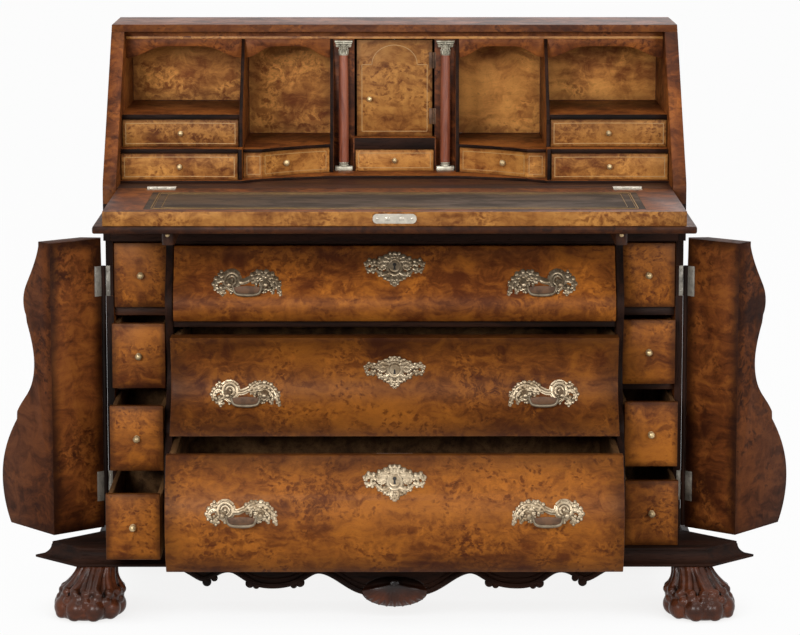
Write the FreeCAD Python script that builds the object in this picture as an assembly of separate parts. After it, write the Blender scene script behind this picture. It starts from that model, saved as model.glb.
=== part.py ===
import FreeCAD, Part
import math
import os
from FreeCAD import Vector

# Escritoire: bombe chest of drawers with side cupboards under a slant-front writing desk.
# Millimetres. +X to the viewer's right, +Y to the back, +Z up, floor at z = 0.
# y = 0 is the plane of the side cupboards' hinges. The piece stands open: the fall is down,
# the cupboards are open and the drawers are pulled out.

# Case
core_half = 531.0          # centre line to the outer face of a side
side_thick = 14.0          # sides of the chest
desk_side_thick = 24.5     # sides of the desk, above the waist
back_y = 405.0             # back face of the case
back_thick = 12.0
total_height = 1045.0
desk_high = 282.0          # writing surface to the top
top_thick = 13.0
foot_high = 92.0
base_high = 30.0           # moulded platform
base_step = 22.0           # reach of the platform's moulding
waist_high = 68.0          # waist rail, between chest and desk floor
dust_thick = 8.0           # dust board over the chest
rail_thick = 12.0          # dust boards between the long drawers
rail_recess = 5.0          # dust boards behind the fronts
partition_thick = 13.5
bay_wide = 100.0           # side bays, behind the cupboard doors
bay_shelf = 18.0

# Gaps
slide_gap = 1.5            # beside and above a drawer
seat_gap = 0.5             # under a drawer
leaf_gap = 0.4             # round a hinge barrel
fit_gap = 1.0              # beside a loper, over a door and under the fall
hinge_gap = 0.5            # fall panel ahead of its hinge line
floor_gap = 0.3            # desk floor behind the fall's hinge line
loper_gap = 0.7            # loper under the fall
shelf_recess = 2.0         # edges of the desk interior's case behind the drawer fronts
past = 1.0                 # cuts run this far past what they cut

# Long drawers, from the bottom up
front_parts = {"bottom": 205.0, "middle": 172.0, "top": 132.0}     # heights, in proportion
pull = {"bottom": 209.0, "middle": 109.0, "top": 7.0}
front_least = 18.0         # thinnest stretch of a front
drawer_wall = 12.0
drawer_floor = 8.0
side_drop = 14.0           # drawer sides stand this far below the front's top
drawer_rear = 20.0         # room behind a closed drawer

# Swell of the front ahead of y = 0: share of the drawer's height from its top, reach
swell = {
    "top": [(0.0, 38.0), (0.24, 52.0), (0.48, 72.0), (0.69, 88.0), (0.83, 90.5), (1.0, 83.0)],
    "middle": [(0.0, 80.0), (0.17, 67.0), (0.42, 58.0), (0.7, 72.0), (0.9, 104.0), (1.0, 118.0)],
    "bottom": [(0.0, 119.0), (0.18, 146.0), (0.41, 167.0), (0.6, 171.0), (0.8, 163.0), (1.0, 141.0)],
}

# Cupboard doors
door_open = 140.5          # rest angle from closed
door_lift = 5.0            # above the platform
door_gap = 0.8             # closed door's inner face ahead of y = 0
ear_out = 87.0             # canted ear's tip beyond the side, at the fullest swell, door closed
ear_reach = 120.0
door_axis_x = core_half + 4.5
door_axis_y = -0.5
door_hinge_low = 83.0      # lower hinge above the platform
door_hinge_high = 80.0     # upper hinge below the waist
door_hinge_long = 56.0
door_barrel_r = 4.0
door_leaf_thick = 1.5
door_leaf_wide = 34.0

# Platform ears
base_margin = 19.0         # platform ahead of the bottom of the swell
base_ear_out = 96.0        # ear's tip beyond the side
base_ear_reach = 100.0
base_root_out = 4.0        # platform beyond the side, behind the ear
base_fillet = 5.0
cove_steps = 5

# Feet
foot_wide = 65.0           # radius of a paw
foot_lean = 18.0           # pad ahead of the ankle
foot_front_out = 7.0       # front ankles beyond the sides
foot_front_y = -148.0
foot_rear_in = 69.0        # rear ankles inside the sides
foot_rear_in_y = 100.0     # rear ankles ahead of the back

# Apron and its shell
apron_set = 12.0           # apron behind the fullest swell
apron_thick = 16.0
apron_short = 6.0          # each end short of the long drawers
shell_reach = 64.0
shell_lift = 6.0           # hub below the platform
hub_r = 9.0
rib_r = 10.5
rib_root_r = 4.0
rib_turn = 24.0
rib_side = 3               # ribs on each side of the middle one

# Side drawers, top to bottom, pulled out at rest
side_recess = 18.0         # closed fronts behind the doors' plane
side_pull = {"left": [22.0, 89.0, 161.0, 272.0], "right": [22.0, 48.0, 123.0, 158.0]}
small_wall = 8.0
small_front = 14.0
small_floor = 6.0
small_drop = 10.0          # small drawers' sides below the front's top
knob_reach = 15.0

# Desk and fall
pivot_y = -20.5            # fall's hinge line, at the writing surface
slant = 47.5               # closed fall, degrees from level
fall_panel_thick = 25.0
fall_board_thick = 13.0
fall_board_inset = 8.5     # board inside the sides' outer faces
fall_panel_short = 24.36   # panel short of the top, along the slant
fall_board_short = 17.36
leather_margin = 68.0      # crossbanding beside the leather
leather_near = 60.0        # hinge line to the leather
leather_front = 31.0       # crossbanding ahead of it
leather_thick = 1.0
lock_half = 38.0           # fall's lock plate
lock_margin = 4.0
lock_plate = 2.0
lock_case_in = 8.0         # lock case inside the plate's ends
lock_deep = 30.0
fall_hinge_inset = 80.0    # hinges in from the panel's ends
fall_hinge_long = 52.0
fall_barrel_r = 3.0
fall_leaf_thick = 1.2
fall_leaf_wide = 30.0

# Lopers
loper_inset = 6.5          # middle of a loper inside the partition's face
loper_wide = 22.0
loper_high = 30.0
loper_long = 360.0
loper_out = 245.0

# Desk interior
plinth_high = 5.0
plinth_ahead = 6.0         # plinth ahead of the lower outer drawers
plinth_step = 36.0         # width of the step back to the inner drawers
plinth_inner = 12.0        # plinth ahead of the inner drawers' outer ends
plinth_centre = 56.0       # plinth ahead of their inner ends
outer_front_y = 97.0       # upper outer drawers' fronts
lower_front_y = 57.0       # lower outer drawers' fronts, stepped forwards
centre_front_y = 205.0     # centre drawer's front
inner_end_y = 186.0        # inner drawers' fronts, beside the columns
centre_y = 232.0           # prospect door and pilasters
frieze_high = 16.0
frieze_thick = 8.0
bead_high = 5.0
bead_reach = 2.0
upright_thick = 6.5
upright_out = 282.0        # inner face of the outer uprights
upright_in = 115.0         # inner face of the inner uprights
lower_high = 48.0
upper_high = 50.0
outer_shelf = 8.0
cover_shelf = 9.0
inner_high = 46.0
inner_flat = 34.0          # straight stretch of an inner drawer's front
inner_bow = 10.0           # how far the rest of it bows in
inner_shelf = 6.0
inner_recess = 4.0         # shelf behind an inner drawer's front
centre_high = 40.0
centre_rail = 22.0
hollow = 8.0               # how far the outer fronts curve in
thin_wall = 6.0
thin_floor = 4.0
thin_front = 12.0
thin_drop = 3.0            # desk drawers' sides below the front's top
knob_small = 12.0
knob_sink = 3.0            # root of a knob behind a curved face
door_half = 71.3
prospect_thick = 12.0
prospect_knob_in = 24.0
prospect_knob_share = 0.39
prospect_hinge_shares = (0.21, 0.79)
prospect_hinge_long = 30.0
prospect_barrel_r = 1.8
prospect_leaf_thick = 1.0
prospect_leaf_fixed = 5.0
prospect_leaf_moving = 8.0
prospect_axis_out = 2.0    # hinge line ahead of the door's face
centre_head = 2.0          # over the prospect door and the capitals
pilaster_in = 75.3
pilaster_thick = 12.0
column_x = 96.0
column_r = 8.5
cap_wide = 34.0
cap_deep = 19.0
cap_high = 28.0
foot_block = 16.0
valance_deep = 36.0
valance_thick = 6.0

# Handles
handle_inset = 135.0       # handles in from the drawers' ends
handle_share = {"top": 0.48, "middle": 0.605, "bottom": 0.455}
keyhole_share = {"top": 0.265, "middle": 0.355, "bottom": 0.19}
plate_thick = 3.0
bail_half = 33.0
bail_drop = 20.0
bail_r = 2.6
bail_stand = 22.0          # bail's pin ahead of the front
bail_turn = 9.0            # corners of the bail
eye_r = 5.0
stem_r = 3.0
stem_sink = 10.0           # root of a stem behind the front's face at mid-length
drawer_lock_half = 32.0
drawer_lock_thick = 12.0
drawer_lock_high = 50.0
drawer_lock_drop = 2.0     # lock below the front's top
pin_r = 1.5
pin_gap = 0.06

# Worked out from the driving dimensions
base_top = foot_high + base_high
bay_out = core_half - side_thick
bay_in = bay_out - bay_wide
opening_half = bay_in - partition_thick
long_half = opening_half - slide_gap
desk_half = core_half - desk_side_thick
inside_back = back_y - back_thick
top_z = total_height - top_thick
desk_z = total_height - desk_high
waist_top = desk_z - fall_panel_thick - fit_gap
waist_bottom = waist_top - waist_high
chest_top = waist_bottom - dust_thick
front_room = chest_top - base_top - 3.0 * (seat_gap + slide_gap) - 2.0 * rail_thick
front_high = {}
front_z = {}
level = base_top
for name, part in front_parts.items():
    front_high[name] = front_room * part / sum(front_parts.values())
    front_z[name] = level + seat_gap
    level = front_z[name] + front_high[name] + slide_gap + rail_thick
swell_most = max(reach for points in swell.values() for share, reach in points)
handle_x = long_half - handle_inset
ear_x = core_half + ear_out
door_hinge_z = [base_top + door_hinge_low, waist_bottom - door_hinge_high]
fall_reach = fall_panel_thick - hinge_gap      # sides' front edge round the fall's hinge line
sin_s = math.sin(math.radians(slant))
cos_s = math.cos(math.radians(slant))
slope_long = (top_z - desk_z) / sin_s
fall_panel_half = desk_half - slide_gap
fall_board_half = core_half - fall_board_inset
fall_panel_long = slope_long - fall_panel_short
fall_board_long = slope_long - fall_board_short
leather_half = fall_panel_half - leather_margin
leather_far = fall_panel_long + hinge_gap - leather_front
fall_hinge_x = fall_panel_half - fall_hinge_inset
loper_x = opening_half - loper_inset
interior_top = top_z - frieze_high


def box(x0, x1, y0, y1, z0, z1):
    return Part.makeBox(x1 - x0, y1 - y0, z1 - z0, Vector(x0, y0, z0))


def on_side(sign, a, b):
    """Stretch from a to b on the right, or its mirror image on the left."""
    return (a, b) if sign > 0 else (-b, -a)


def polygon(points):
    return Part.Face(Part.makePolygon(points + [points[0]]))


def prism_x(points, x0, x1):
    """Outline of (y, z) points, drawn out along X."""
    face = polygon([Vector(x0, y, z) for y, z in points])
    return face.extrude(Vector(x1 - x0, 0, 0))


def prism_z(points, z0, z1):
    """Outline of (x, y) points, drawn up along Z."""
    face = polygon([Vector(x, y, z0) for x, y in points])
    return face.extrude(Vector(0, 0, z1 - z0))


def rod(radius, start, end):
    """Round bar from one point to another."""
    run = Vector(*end) - Vector(*start)
    return Part.makeCylinder(radius, run.Length, Vector(*start), run)


def fused(shapes):
    joined = shapes[0].fuse(shapes[1:]) if len(shapes) > 1 else shapes[0]
    return joined.removeSplitter()


def curve(points):
    spline = Part.BSplineCurve()
    spline.interpolate(points)
    return spline.toShape()


def line(a, b):
    return Part.makeLine(a, b)


def mirrored(shape):
    return shape.mirror(Vector(0, 0, 0), Vector(1, 0, 0))


def moved(shape, dx=0.0, dy=0.0, dz=0.0):
    copy = shape.copy()
    copy.translate(Vector(dx, dy, dz))
    return copy


def turned(shape, at, axis, angle):
    copy = shape.copy()
    copy.rotate(Vector(*at), Vector(*axis), angle)
    return copy


def save(name, shapes):
    """Write one node; its pieces stay separate solids."""
    solids = [solid for shape in shapes for solid in shape.Solids]
    shape = solids[0] if len(solids) == 1 else Part.makeCompound(solids)
    shape.exportStep("parts/" + name + ".step")


# The bombe front
def swell_points(name, x):
    top = front_z[name] + front_high[name]
    return [Vector(x, -reach, top - share * front_high[name]) for share, reach in swell[name]]


def front_y(front, x, z):
    """y at which a line from the viewer meets a front."""
    sight = line(Vector(x, -4.0 * swell_most, z), Vector(x, 4.0 * swell_most, z))
    return front.common(sight).BoundBox.YMin


def swell_wire(x, low, high):
    """Closed outline of the whole bombe front at x, from y = 0 forwards."""
    edges = []
    last = Vector(x, -swell["top"][0][1], high)
    edges.append(line(Vector(x, 0, high), last))
    for name in ("top", "middle", "bottom"):
        points = swell_points(name, x)
        edges.append(line(last, points[0]))
        edges.append(curve(points))
        last = points[-1]
    foot = Vector(x, last.y, low)
    edges.append(line(last, foot))
    edges.append(line(foot, Vector(x, 0, low)))
    edges.append(line(Vector(x, 0, low), Vector(x, 0, high)))
    return Part.Wire([edge for edge in edges if edge.Length > 1e-6])


def swell_block(x0, x1, low, high):
    face = Part.Face(swell_wire(x0, low, high))
    return face.extrude(Vector(x1 - x0, 0, 0))


# Drawer boxes
def drawer_box(x0, x1, y0, y1, z0, z1, wall, floor):
    """Two sides, a back between them and a bottom let in between all four walls."""
    left = box(x0, x0 + wall, y0, y1, z0, z1)
    right = box(x1 - wall, x1, y0, y1, z0, z1)
    back = box(x0 + wall, x1 - wall, y1 - wall, y1, z0, z1)
    bottom = box(x0 + wall, x1 - wall, y0, y1 - wall, z0, z0 + floor)
    return [left, right, back, bottom]


def knob(x, y, z, reach):
    """Turned knob that stands out of a front at y."""
    neck = Part.makeCylinder(reach * 0.22, reach * 0.5, Vector(x, y, z), Vector(0, -1, 0))
    head_r = reach * 0.36
    head = Part.makeSphere(head_r, Vector(x, y - reach + head_r, z))
    return fused([neck, head])


# Hinges
def butt_hinge(length, barrel_r, leaf_thick, wide_fixed, wide_moving, offset_fixed, offset_moving):
    """Hinge along +Z from z = 0, both leaves to -X, as when shut. Leaves lie at an offset in y."""
    third = length / 3.0
    clear = barrel_r + leaf_gap
    hinge_pin_r = barrel_r * 0.4
    pin = Part.makeCylinder(hinge_pin_r, length)
    fixed = [pin]
    for z0 in (0.0, 2.0 * third):
        fixed.append(Part.makeCylinder(barrel_r, third, Vector(0, 0, z0)))
        fixed.append(box(-clear, 0.0, offset_fixed, offset_fixed + leaf_thick, z0, z0 + third))
    fixed.append(box(-wide_fixed, -clear, offset_fixed, offset_fixed + leaf_thick, 0.0, length))
    play = 0.2
    moving = [Part.makeCylinder(barrel_r, third - 2.0 * play, Vector(0, 0, third + play))]
    face = offset_moving + leaf_thick
    moving.append(box(-clear, 0.0, offset_moving, face, third + play, 2.0 * third - play))
    moving.append(box(-wide_moving, -clear, offset_moving, face, 0.0, length))
    bore = Part.makeCylinder(hinge_pin_r + pin_gap, length)
    return fused(fixed), fused(moving).cut(bore)


# Base, feet and apron
def offset_outline(points, distance):
    """Outline moved outwards by a distance, corners kept sharp, but not past the back of the case."""
    result = []
    count = len(points)
    for i in range(count):
        before = Vector(*points[i - 1], 0)
        here = Vector(*points[i], 0)
        after = Vector(*points[(i + 1) % count], 0)
        run_in = (here - before).normalize()
        run_out = (after - here).normalize()
        normal_in = Vector(run_in.y, -run_in.x, 0)
        normal_out = Vector(run_out.y, -run_out.x, 0)
        bisect = normal_in + normal_out
        shift = bisect * (2.0 * distance / bisect.dot(bisect))
        result.append((here.x + shift.x, min(here.y + shift.y, back_y)))
    return result


base_front = -(swell["bottom"][-1][1] + base_margin)
base_ear_x = core_half + base_ear_out
base_root_x = core_half + base_root_out
base_cant_x = base_ear_x - (-base_front - base_ear_reach)
base_root_y = -(base_ear_reach - (base_ear_x - base_root_x))
half_plan = [
    (base_cant_x, base_front), (base_ear_x, -base_ear_reach),
    (base_root_x, base_root_y), (base_root_x, back_y),
]
base_plan = half_plan + [(-x, y) for x, y in reversed(half_plan)]


def base_platform():
    """Platform with a fillet, a cove that spreads outwards and a second fillet."""
    cove_high = base_high - 2.0 * base_fillet
    cove_reach = base_step - 2.0 * fit_gap
    layers = [prism_z(base_plan, base_top - base_fillet, base_top)]
    wires = []
    for i in range(cove_steps + 1):
        angle = math.radians(90.0 * i / cove_steps)
        reach = fit_gap + cove_reach * (1.0 - math.cos(angle))
        z = base_top - base_fillet - cove_high * math.sin(angle)
        outline = [Vector(x, y, z) for x, y in offset_outline(base_plan, reach)]
        wires.append(Part.makePolygon(outline + [outline[0]]))
    layers.append(Part.makeLoft(wires, True, True))
    layers.append(prism_z(offset_outline(base_plan, base_step), foot_high, foot_high + base_fillet))
    return fused(layers)


def paw_foot(x, y, facing):
    """Carved paw: an ankle that spreads outwards into a broad pad, ringed with toes in two rows."""
    along = Vector(math.cos(math.radians(facing)), math.sin(math.radians(facing)), 0)
    rings = []
    for share, lean, spread in (
        (1.0, 0.0, 0.54), (0.78, 0.11, 0.55), (0.52, 0.56, 0.76),
        (0.26, 1.0, 0.97), (0.1, 1.0, 0.98), (0.0, 0.89, 0.86),
    ):
        at = along * (lean * foot_lean) + Vector(0, 0, share * foot_high)
        rings.append(Part.Wire(Part.makeCircle(spread * foot_wide, at)))
    paw = Part.makeLoft(rings, True, False)
    toe_r = 0.32 * foot_wide
    heart = along * foot_lean
    bumps = []
    rows = ((0.28, 0.7, 1.0, (-84, -42, 0, 42, 84)), (0.5, 0.56, 0.8, (-63, -21, 21, 63)))
    for row_z, row_reach, row_r, spreads in rows:
        for spread in spreads:
            angle = math.radians(facing + spread)
            run = Vector(math.cos(angle), math.sin(angle), 0)
            at = heart + run * (row_reach * foot_wide) + Vector(0, 0, row_z * foot_high)
            bumps.append(Part.makeSphere(row_r * toe_r, at))
    return moved(fused([paw] + bumps), x, y)


apron_y = -(swell_most - apron_set)
apron_half = long_half - apron_short


def apron():
    """Board with a scalloped lower edge, drawn as shares of its half width and of the feet's height."""
    scallops = [
        (1.0, 0.957), (0.944, 0.859), (0.871, 0.696), (0.803, 0.848), (0.737, 0.87), (0.662, 0.652),
        (0.533, 0.554), (0.434, 0.674), (0.359, 0.859), (0.278, 0.761), (0.187, 0.5), (0.0, 0.37),
    ]
    front = apron_y - apron_thick
    right = [Vector(across * apron_half, front, up * foot_high) for across, up in scallops]
    left = [Vector(-p.x, p.y, p.z) for p in reversed(right[:-1])]
    lower = curve(right + left)
    corner_r = Vector(apron_half, front, foot_high)
    corner_l = Vector(-apron_half, front, foot_high)
    edges = [line(corner_r, right[0]), lower, line(left[-1], corner_l), line(corner_l, corner_r)]
    return Part.Face(Part.Wire(edges)).extrude(Vector(0, apron_thick, 0))


def apron_shell():
    """Fan of ribs on the apron's face, cut flat behind."""
    front = apron_y - apron_thick
    hub = Vector(0, front, foot_high - shell_lift)
    ribs = [Part.makeSphere(hub_r, hub)]
    for i in range(-rib_side, rib_side + 1):
        angle = math.radians(rib_turn * i)
        run = Vector(math.sin(angle), 0, -math.cos(angle))
        long = shell_reach * (1.0 - 0.05 * abs(i)) - 0.76 * rib_r
        ribs.append(Part.makeCone(rib_root_r, rib_r, long, hub, run))
        ribs.append(Part.makeSphere(rib_r, hub + run * long))
    shell = fused(ribs)
    wide = 2.0 * shell_reach
    shell = shell.cut(box(-wide, wide, front, front + wide, -wide, foot_high + wide))
    return shell.cut(box(-wide, wide, front - wide, front, foot_high, foot_high + wide))


# Case
def case_side():
    """Right side: chest part, desk part with a slanted front edge that goes round the fall's hinge line."""
    chest = box(bay_out, core_half, 0.0, back_y, base_top, waist_bottom)
    front = pivot_y - fall_reach
    waist = box(bay_out, core_half, front, back_y, waist_bottom, waist_top)
    bend = Vector(desk_half, pivot_y - fall_reach * sin_s, desk_z + fall_reach * cos_s)
    middle = math.radians(180.0 - (180.0 - slant - 90.0) / 2.0)
    via_y = pivot_y + fall_reach * math.cos(middle)
    via = Vector(desk_half, via_y, desk_z + fall_reach * math.sin(middle))
    start = Vector(desk_half, front, desk_z)
    head_y = bend.y + (top_z - bend.z) * cos_s / sin_s
    head = Vector(desk_half, head_y, top_z)
    low = Vector(desk_half, front, waist_top)
    rear_top = Vector(desk_half, back_y, top_z)
    rear_low = Vector(desk_half, back_y, waist_top)
    edges = [line(low, start), Part.Arc(start, via, bend).toShape(), line(bend, head)]
    edges += [line(head, rear_top), line(rear_top, rear_low), line(rear_low, low)]
    desk = Part.Face(Part.Wire(edges)).extrude(Vector(desk_side_thick, 0, 0))
    return fused([chest, waist, desk])


def slant_y(z):
    """y of the closed fall's inner face at a height."""
    return pivot_y + (z - desk_z) * cos_s / sin_s


def top_board():
    """Top, with its front edge cut to the slant."""
    head = slant_y(top_z) - fall_reach / sin_s
    tip = slant_y(total_height) - fall_reach / sin_s
    outline = [(head, top_z), (tip, total_height), (back_y, total_height), (back_y, top_z)]
    return prism_x(outline, -core_half, core_half)


def partition():
    front = swell_block(bay_in - partition_thick, bay_in, base_top, chest_top)
    rear = box(bay_in - partition_thick, bay_in, 0.0, inside_back, base_top, chest_top)
    return fused([front, rear])


def dust_boards():
    boards = []
    for below, above in (("bottom", "middle"), ("middle", "top")):
        z1 = front_z[above] - seat_gap
        front = min(swell[below][0][1], swell[above][-1][1]) - rail_recess
        boards.append(box(-opening_half, opening_half, -front, inside_back, z1 - rail_thick, z1))
    front = swell["top"][0][1] - rail_recess
    cover = box(-bay_out, bay_out, 0.0, inside_back, chest_top, waist_bottom)
    nose = box(-bay_in, bay_in, -front, 0.0, chest_top, waist_bottom)
    boards.append(fused([cover, nose]))
    return boards


bay_pitch = (chest_top - base_top + bay_shelf) / 4.0
small_high = bay_pitch - bay_shelf - seat_gap - slide_gap


def bay_shelves():
    shelves = []
    for k in range(1, 4):
        z1 = base_top + k * bay_pitch
        shelves.append(box(bay_in, bay_out, side_recess + fit_gap, inside_back, z1 - bay_shelf, z1))
    return shelves


loper_top = desk_z - fall_panel_thick - fall_board_thick - loper_gap
loper_z = loper_top - loper_high


def waist_rail():
    """Rail across the waist with two slots, and a strip under each loper with a guide each side of it."""
    front = pivot_y - fall_reach
    rail = box(-bay_out, bay_out, front, 0.0, waist_bottom, waist_top)
    pieces = []
    low = loper_z - seat_gap
    high = loper_top + seat_gap
    for sign in (-1, 1):
        x0 = sign * loper_x - loper_wide / 2.0 - fit_gap
        x1 = sign * loper_x + loper_wide / 2.0 + fit_gap
        rail = rail.cut(box(x0, x1, front - past, past, low, high))
        pieces.append(box(x0, x1, 0.0, inside_back, waist_bottom, low))
        for edge in (x0 - drawer_wall, x1):
            pieces.append(box(edge, edge + drawer_wall, 0.0, inside_back, waist_bottom, high))
    return [rail] + pieces


def desk_floor():
    return box(-desk_half, desk_half, pivot_y + floor_gap, inside_back, waist_top, desk_z)


# Fall front
def fall_parts():
    """Fall in its open place: panel, wider board under it, leather and the lock in the front edge."""
    y0 = pivot_y - hinge_gap
    front = y0 - fall_panel_long
    low = desk_z - fall_panel_thick
    panel = box(-fall_panel_half, fall_panel_half, front, y0, low, desk_z)
    board_y0 = pivot_y - fall_reach - fit_gap
    lip = low - fall_board_thick
    board = box(-fall_board_half, fall_board_half, y0 - fall_board_long, board_y0, lip, low)
    far = pivot_y - leather_far
    near = pivot_y - leather_near
    sheet = box(-leather_half, leather_half, far, near, desk_z - leather_thick, desk_z)
    panel = panel.cut(sheet)
    foot = low + lock_margin
    plate = box(-lock_half, lock_half, front, front + lock_plate, foot, desk_z - lock_margin)
    case_half = lock_half - lock_case_in
    case_top = desk_z - 2.0 * lock_margin
    case = box(-case_half, case_half, front + lock_plate, front + lock_deep, foot, case_top)
    lock = fused([plate, case])
    panel = panel.cut(lock)
    return panel, board, sheet, lock


# Cupboard doors
def door_shut():
    """Right door, shut: flat inner face, bombe front, 45 degree cant and a straight return to the hinge."""
    inner_x = bay_in + slide_gap
    root_x = core_half - slide_gap
    low = base_top + door_lift
    high = waist_bottom - fit_gap
    tip = ear_x + past
    slab = swell_block(inner_x, tip, base_top, high)
    slab = slab.cut(box(inner_x - past, tip + past, -door_gap, past, base_top - past, high + past))
    slab = slab.cut(box(inner_x - past, tip + past, -2.0 * swell_most, 0.0, base_top - past, low))
    shift = swell_most - (ear_x + ear_reach) / math.sqrt(2.0)
    cant = swell_block(-ear_x, ear_x, base_top, high)
    cant = fused([cant, box(-ear_x, ear_x, 0.0, ear_x, base_top, high)])
    cant = turned(moved(cant, 0.0, shift), (0, 0, 0), (0, 0, 1), 45.0)
    slab = slab.common(cant)
    lean = (ear_x - root_x) / ear_reach
    beyond = [(root_x, 0.0), (root_x + 2.0 * lean * swell_most, -2.0 * swell_most), (2.0 * ear_x, 0.0)]
    return slab.cut(prism_z(beyond, base_top, high + past))


def placed_door_hinge(z):
    wide = door_axis_x - bay_out
    inset = -door_leaf_thick - door_gap - door_axis_y
    fixed, moving = butt_hinge(door_hinge_long, door_barrel_r, door_leaf_thick, wide, door_leaf_wide,
                               -door_axis_y, inset)
    at = Vector(door_axis_x, door_axis_y, z - door_hinge_long / 2.0)
    return moved(fixed, *at), moved(moving, *at)


# Desk interior
plinth_z = desk_z + plinth_high
lower_z = plinth_z + seat_gap
upper_z = lower_z + lower_high + seat_gap + outer_shelf + seat_gap
cover_z = upper_z + upper_high + seat_gap
inner_z = plinth_z + seat_gap
inner_top = inner_z + inner_high + seat_gap
centre_z = plinth_z + seat_gap
centre_top = centre_z + centre_high + seat_gap


def serpentine(x_sign, dy, z):
    """Inner drawer's front line: straight at the outer end, then curving back to the columns."""
    out_x = upright_out - slide_gap
    in_x = upright_in + upright_thick + slide_gap
    bend_x = out_x - inner_flat
    mid_x = (bend_x + in_x) / 2.0
    mid_y = (outer_front_y + inner_end_y) / 2.0 + inner_bow
    start = Vector(x_sign * bend_x, outer_front_y + dy, z)
    flat = line(Vector(x_sign * out_x, outer_front_y + dy, z), start)
    via = Vector(x_sign * mid_x, mid_y + dy, z)
    end = Vector(x_sign * in_x, inner_end_y + dy, z)
    return [flat, Part.Arc(start, via, end).toShape()]


def band(edges_front, edges_back, height):
    """Board between two like lines, drawn up."""
    a = edges_front[0].Vertexes[0].Point
    b = edges_front[-1].Vertexes[-1].Point
    c = edges_back[0].Vertexes[0].Point
    d = edges_back[-1].Vertexes[-1].Point
    wire = Part.Wire(Part.__sortEdges__(edges_front + [line(b, d)] + edges_back + [line(c, a)]))
    return Part.Face(wire).extrude(Vector(0, 0, height))


def pigeonhole_case():
    """Plinth, uprights, shelves and the pilasters beside the prospect door."""
    pieces = []
    plinth_front = lower_front_y - plinth_ahead
    plan_half = [
        (upright_in, inner_end_y - plinth_centre),
        (upright_out - plinth_step, outer_front_y - plinth_inner),
        (upright_out, plinth_front), (desk_half, plinth_front), (desk_half, inside_back),
    ]
    plan = plan_half + [(-x, y) for x, y in reversed(plan_half)]
    pieces.append(prism_z(plan, desk_z, plinth_z))
    shelf_z = lower_z + lower_high + seat_gap
    shelf_top = inner_top + inner_shelf
    rail_top = centre_top + centre_rail
    lower_edge = lower_front_y + shelf_recess
    upper_edge = outer_front_y + shelf_recess
    inner_edge = inner_end_y + inner_recess
    centre_edge = centre_front_y + shelf_recess
    in_x = upright_in + upright_thick
    tall = [
        (lower_edge, plinth_z), (lower_edge, upper_z), (upper_edge, upper_z), (upper_edge, cover_z),
        (centre_y, interior_top), (inside_back, interior_top), (inside_back, plinth_z),
    ]
    short = [
        (inner_edge, plinth_z), (inner_edge, inner_top), (centre_y, interior_top),
        (inside_back, interior_top), (inside_back, plinth_z),
    ]
    for sign in (-1, 1):
        pieces.append(prism_x(tall, *on_side(sign, upright_out, upright_out + upright_thick)))
        pieces.append(prism_x(short, *on_side(sign, upright_in, in_x)))
        outer = on_side(sign, upright_out + upright_thick, desk_half)
        pieces.append(box(*outer, lower_edge + hollow, inside_back, shelf_z, shelf_z + outer_shelf))
        pieces.append(box(*outer, upper_edge + hollow, inside_back, cover_z, cover_z + cover_shelf))
        front = serpentine(sign, inner_recess, inner_top)
        rear = line(Vector(sign * (upright_out - slide_gap), inside_back, inner_top),
                    Vector(sign * (in_x + slide_gap), inside_back, inner_top))
        shelf = [band(front, [rear], inner_shelf)]
        near = on_side(sign, in_x, in_x + slide_gap)
        shelf.append(box(*near, inner_edge, inside_back, inner_top, shelf_top))
        far = on_side(sign, upright_out - slide_gap, upright_out)
        shelf.append(box(*far, outer_front_y + inner_recess, inside_back, inner_top, shelf_top))
        pieces.append(fused(shelf))
        pilaster = on_side(sign, pilaster_in, upright_in)
        pieces.append(box(*pilaster, centre_y, centre_y + pilaster_thick, plinth_z, interior_top))
        cheek = on_side(sign, pilaster_in, column_x - cap_wide / 2.0 - fit_gap)
        pieces.append(box(*cheek, centre_edge, centre_y, plinth_z, rail_top))
    pieces.append(box(-pilaster_in, pilaster_in, centre_edge, inside_back, centre_top, rail_top))
    return pieces


def valances():
    """Cornice board with a bead, and a scalloped valance over each pigeonhole."""
    frieze = box(-desk_half, desk_half, centre_y, centre_y + frieze_thick, interior_top, top_z)
    bead_top = interior_top + bead_high
    bead = box(-desk_half, desk_half, centre_y - bead_reach, centre_y, interior_top, bead_top)
    pieces = [fused([frieze, bead])]
    rise = [(0.0, 0.0), (0.12, 0.18), (0.24, 0.5), (0.5, 0.6), (0.76, 0.5), (0.88, 0.18), (1.0, 0.0)]
    low = interior_top - valance_deep
    spans = [(upright_in + upright_thick, upright_out), (upright_out + upright_thick, desk_half)]
    for x0, x1 in spans:
        points = [Vector(x0 + across * (x1 - x0), centre_y, low + up * valance_deep) for across, up in rise]
        head_l = Vector(x0, centre_y, interior_top)
        head_r = Vector(x1, centre_y, interior_top)
        edges = [curve(points), line(points[-1], head_r), line(head_r, head_l), line(head_l, points[0])]
        right = Part.Face(Part.Wire(edges)).extrude(Vector(0, valance_thick, 0))
        pieces += [right, mirrored(right)]
    return pieces


column_y = centre_y - cap_deep / 2.0
column_top = interior_top - centre_head


def column_mounts():
    pieces = []
    for sign in (-1, 1):
        x0 = sign * column_x - cap_wide / 2.0
        x1 = x0 + cap_wide
        abacus = box(x0, x1, centre_y - cap_deep, centre_y, column_top - 0.25 * cap_high, column_top)
        bell = Part.makeCone(column_r, cap_deep / 2.0, 0.75 * cap_high,
                             Vector(sign * column_x, column_y, column_top - cap_high))
        pieces.append(fused([abacus, bell]))
        block = box(x0, x1, centre_y - cap_deep, centre_y, plinth_z, plinth_z + 0.5 * foot_block)
        ring = Part.makeCone(cap_deep / 2.0, column_r, 0.5 * foot_block,
                             Vector(sign * column_x, column_y, plinth_z + 0.5 * foot_block))
        pieces.append(fused([block, ring]))
    return pieces


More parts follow.
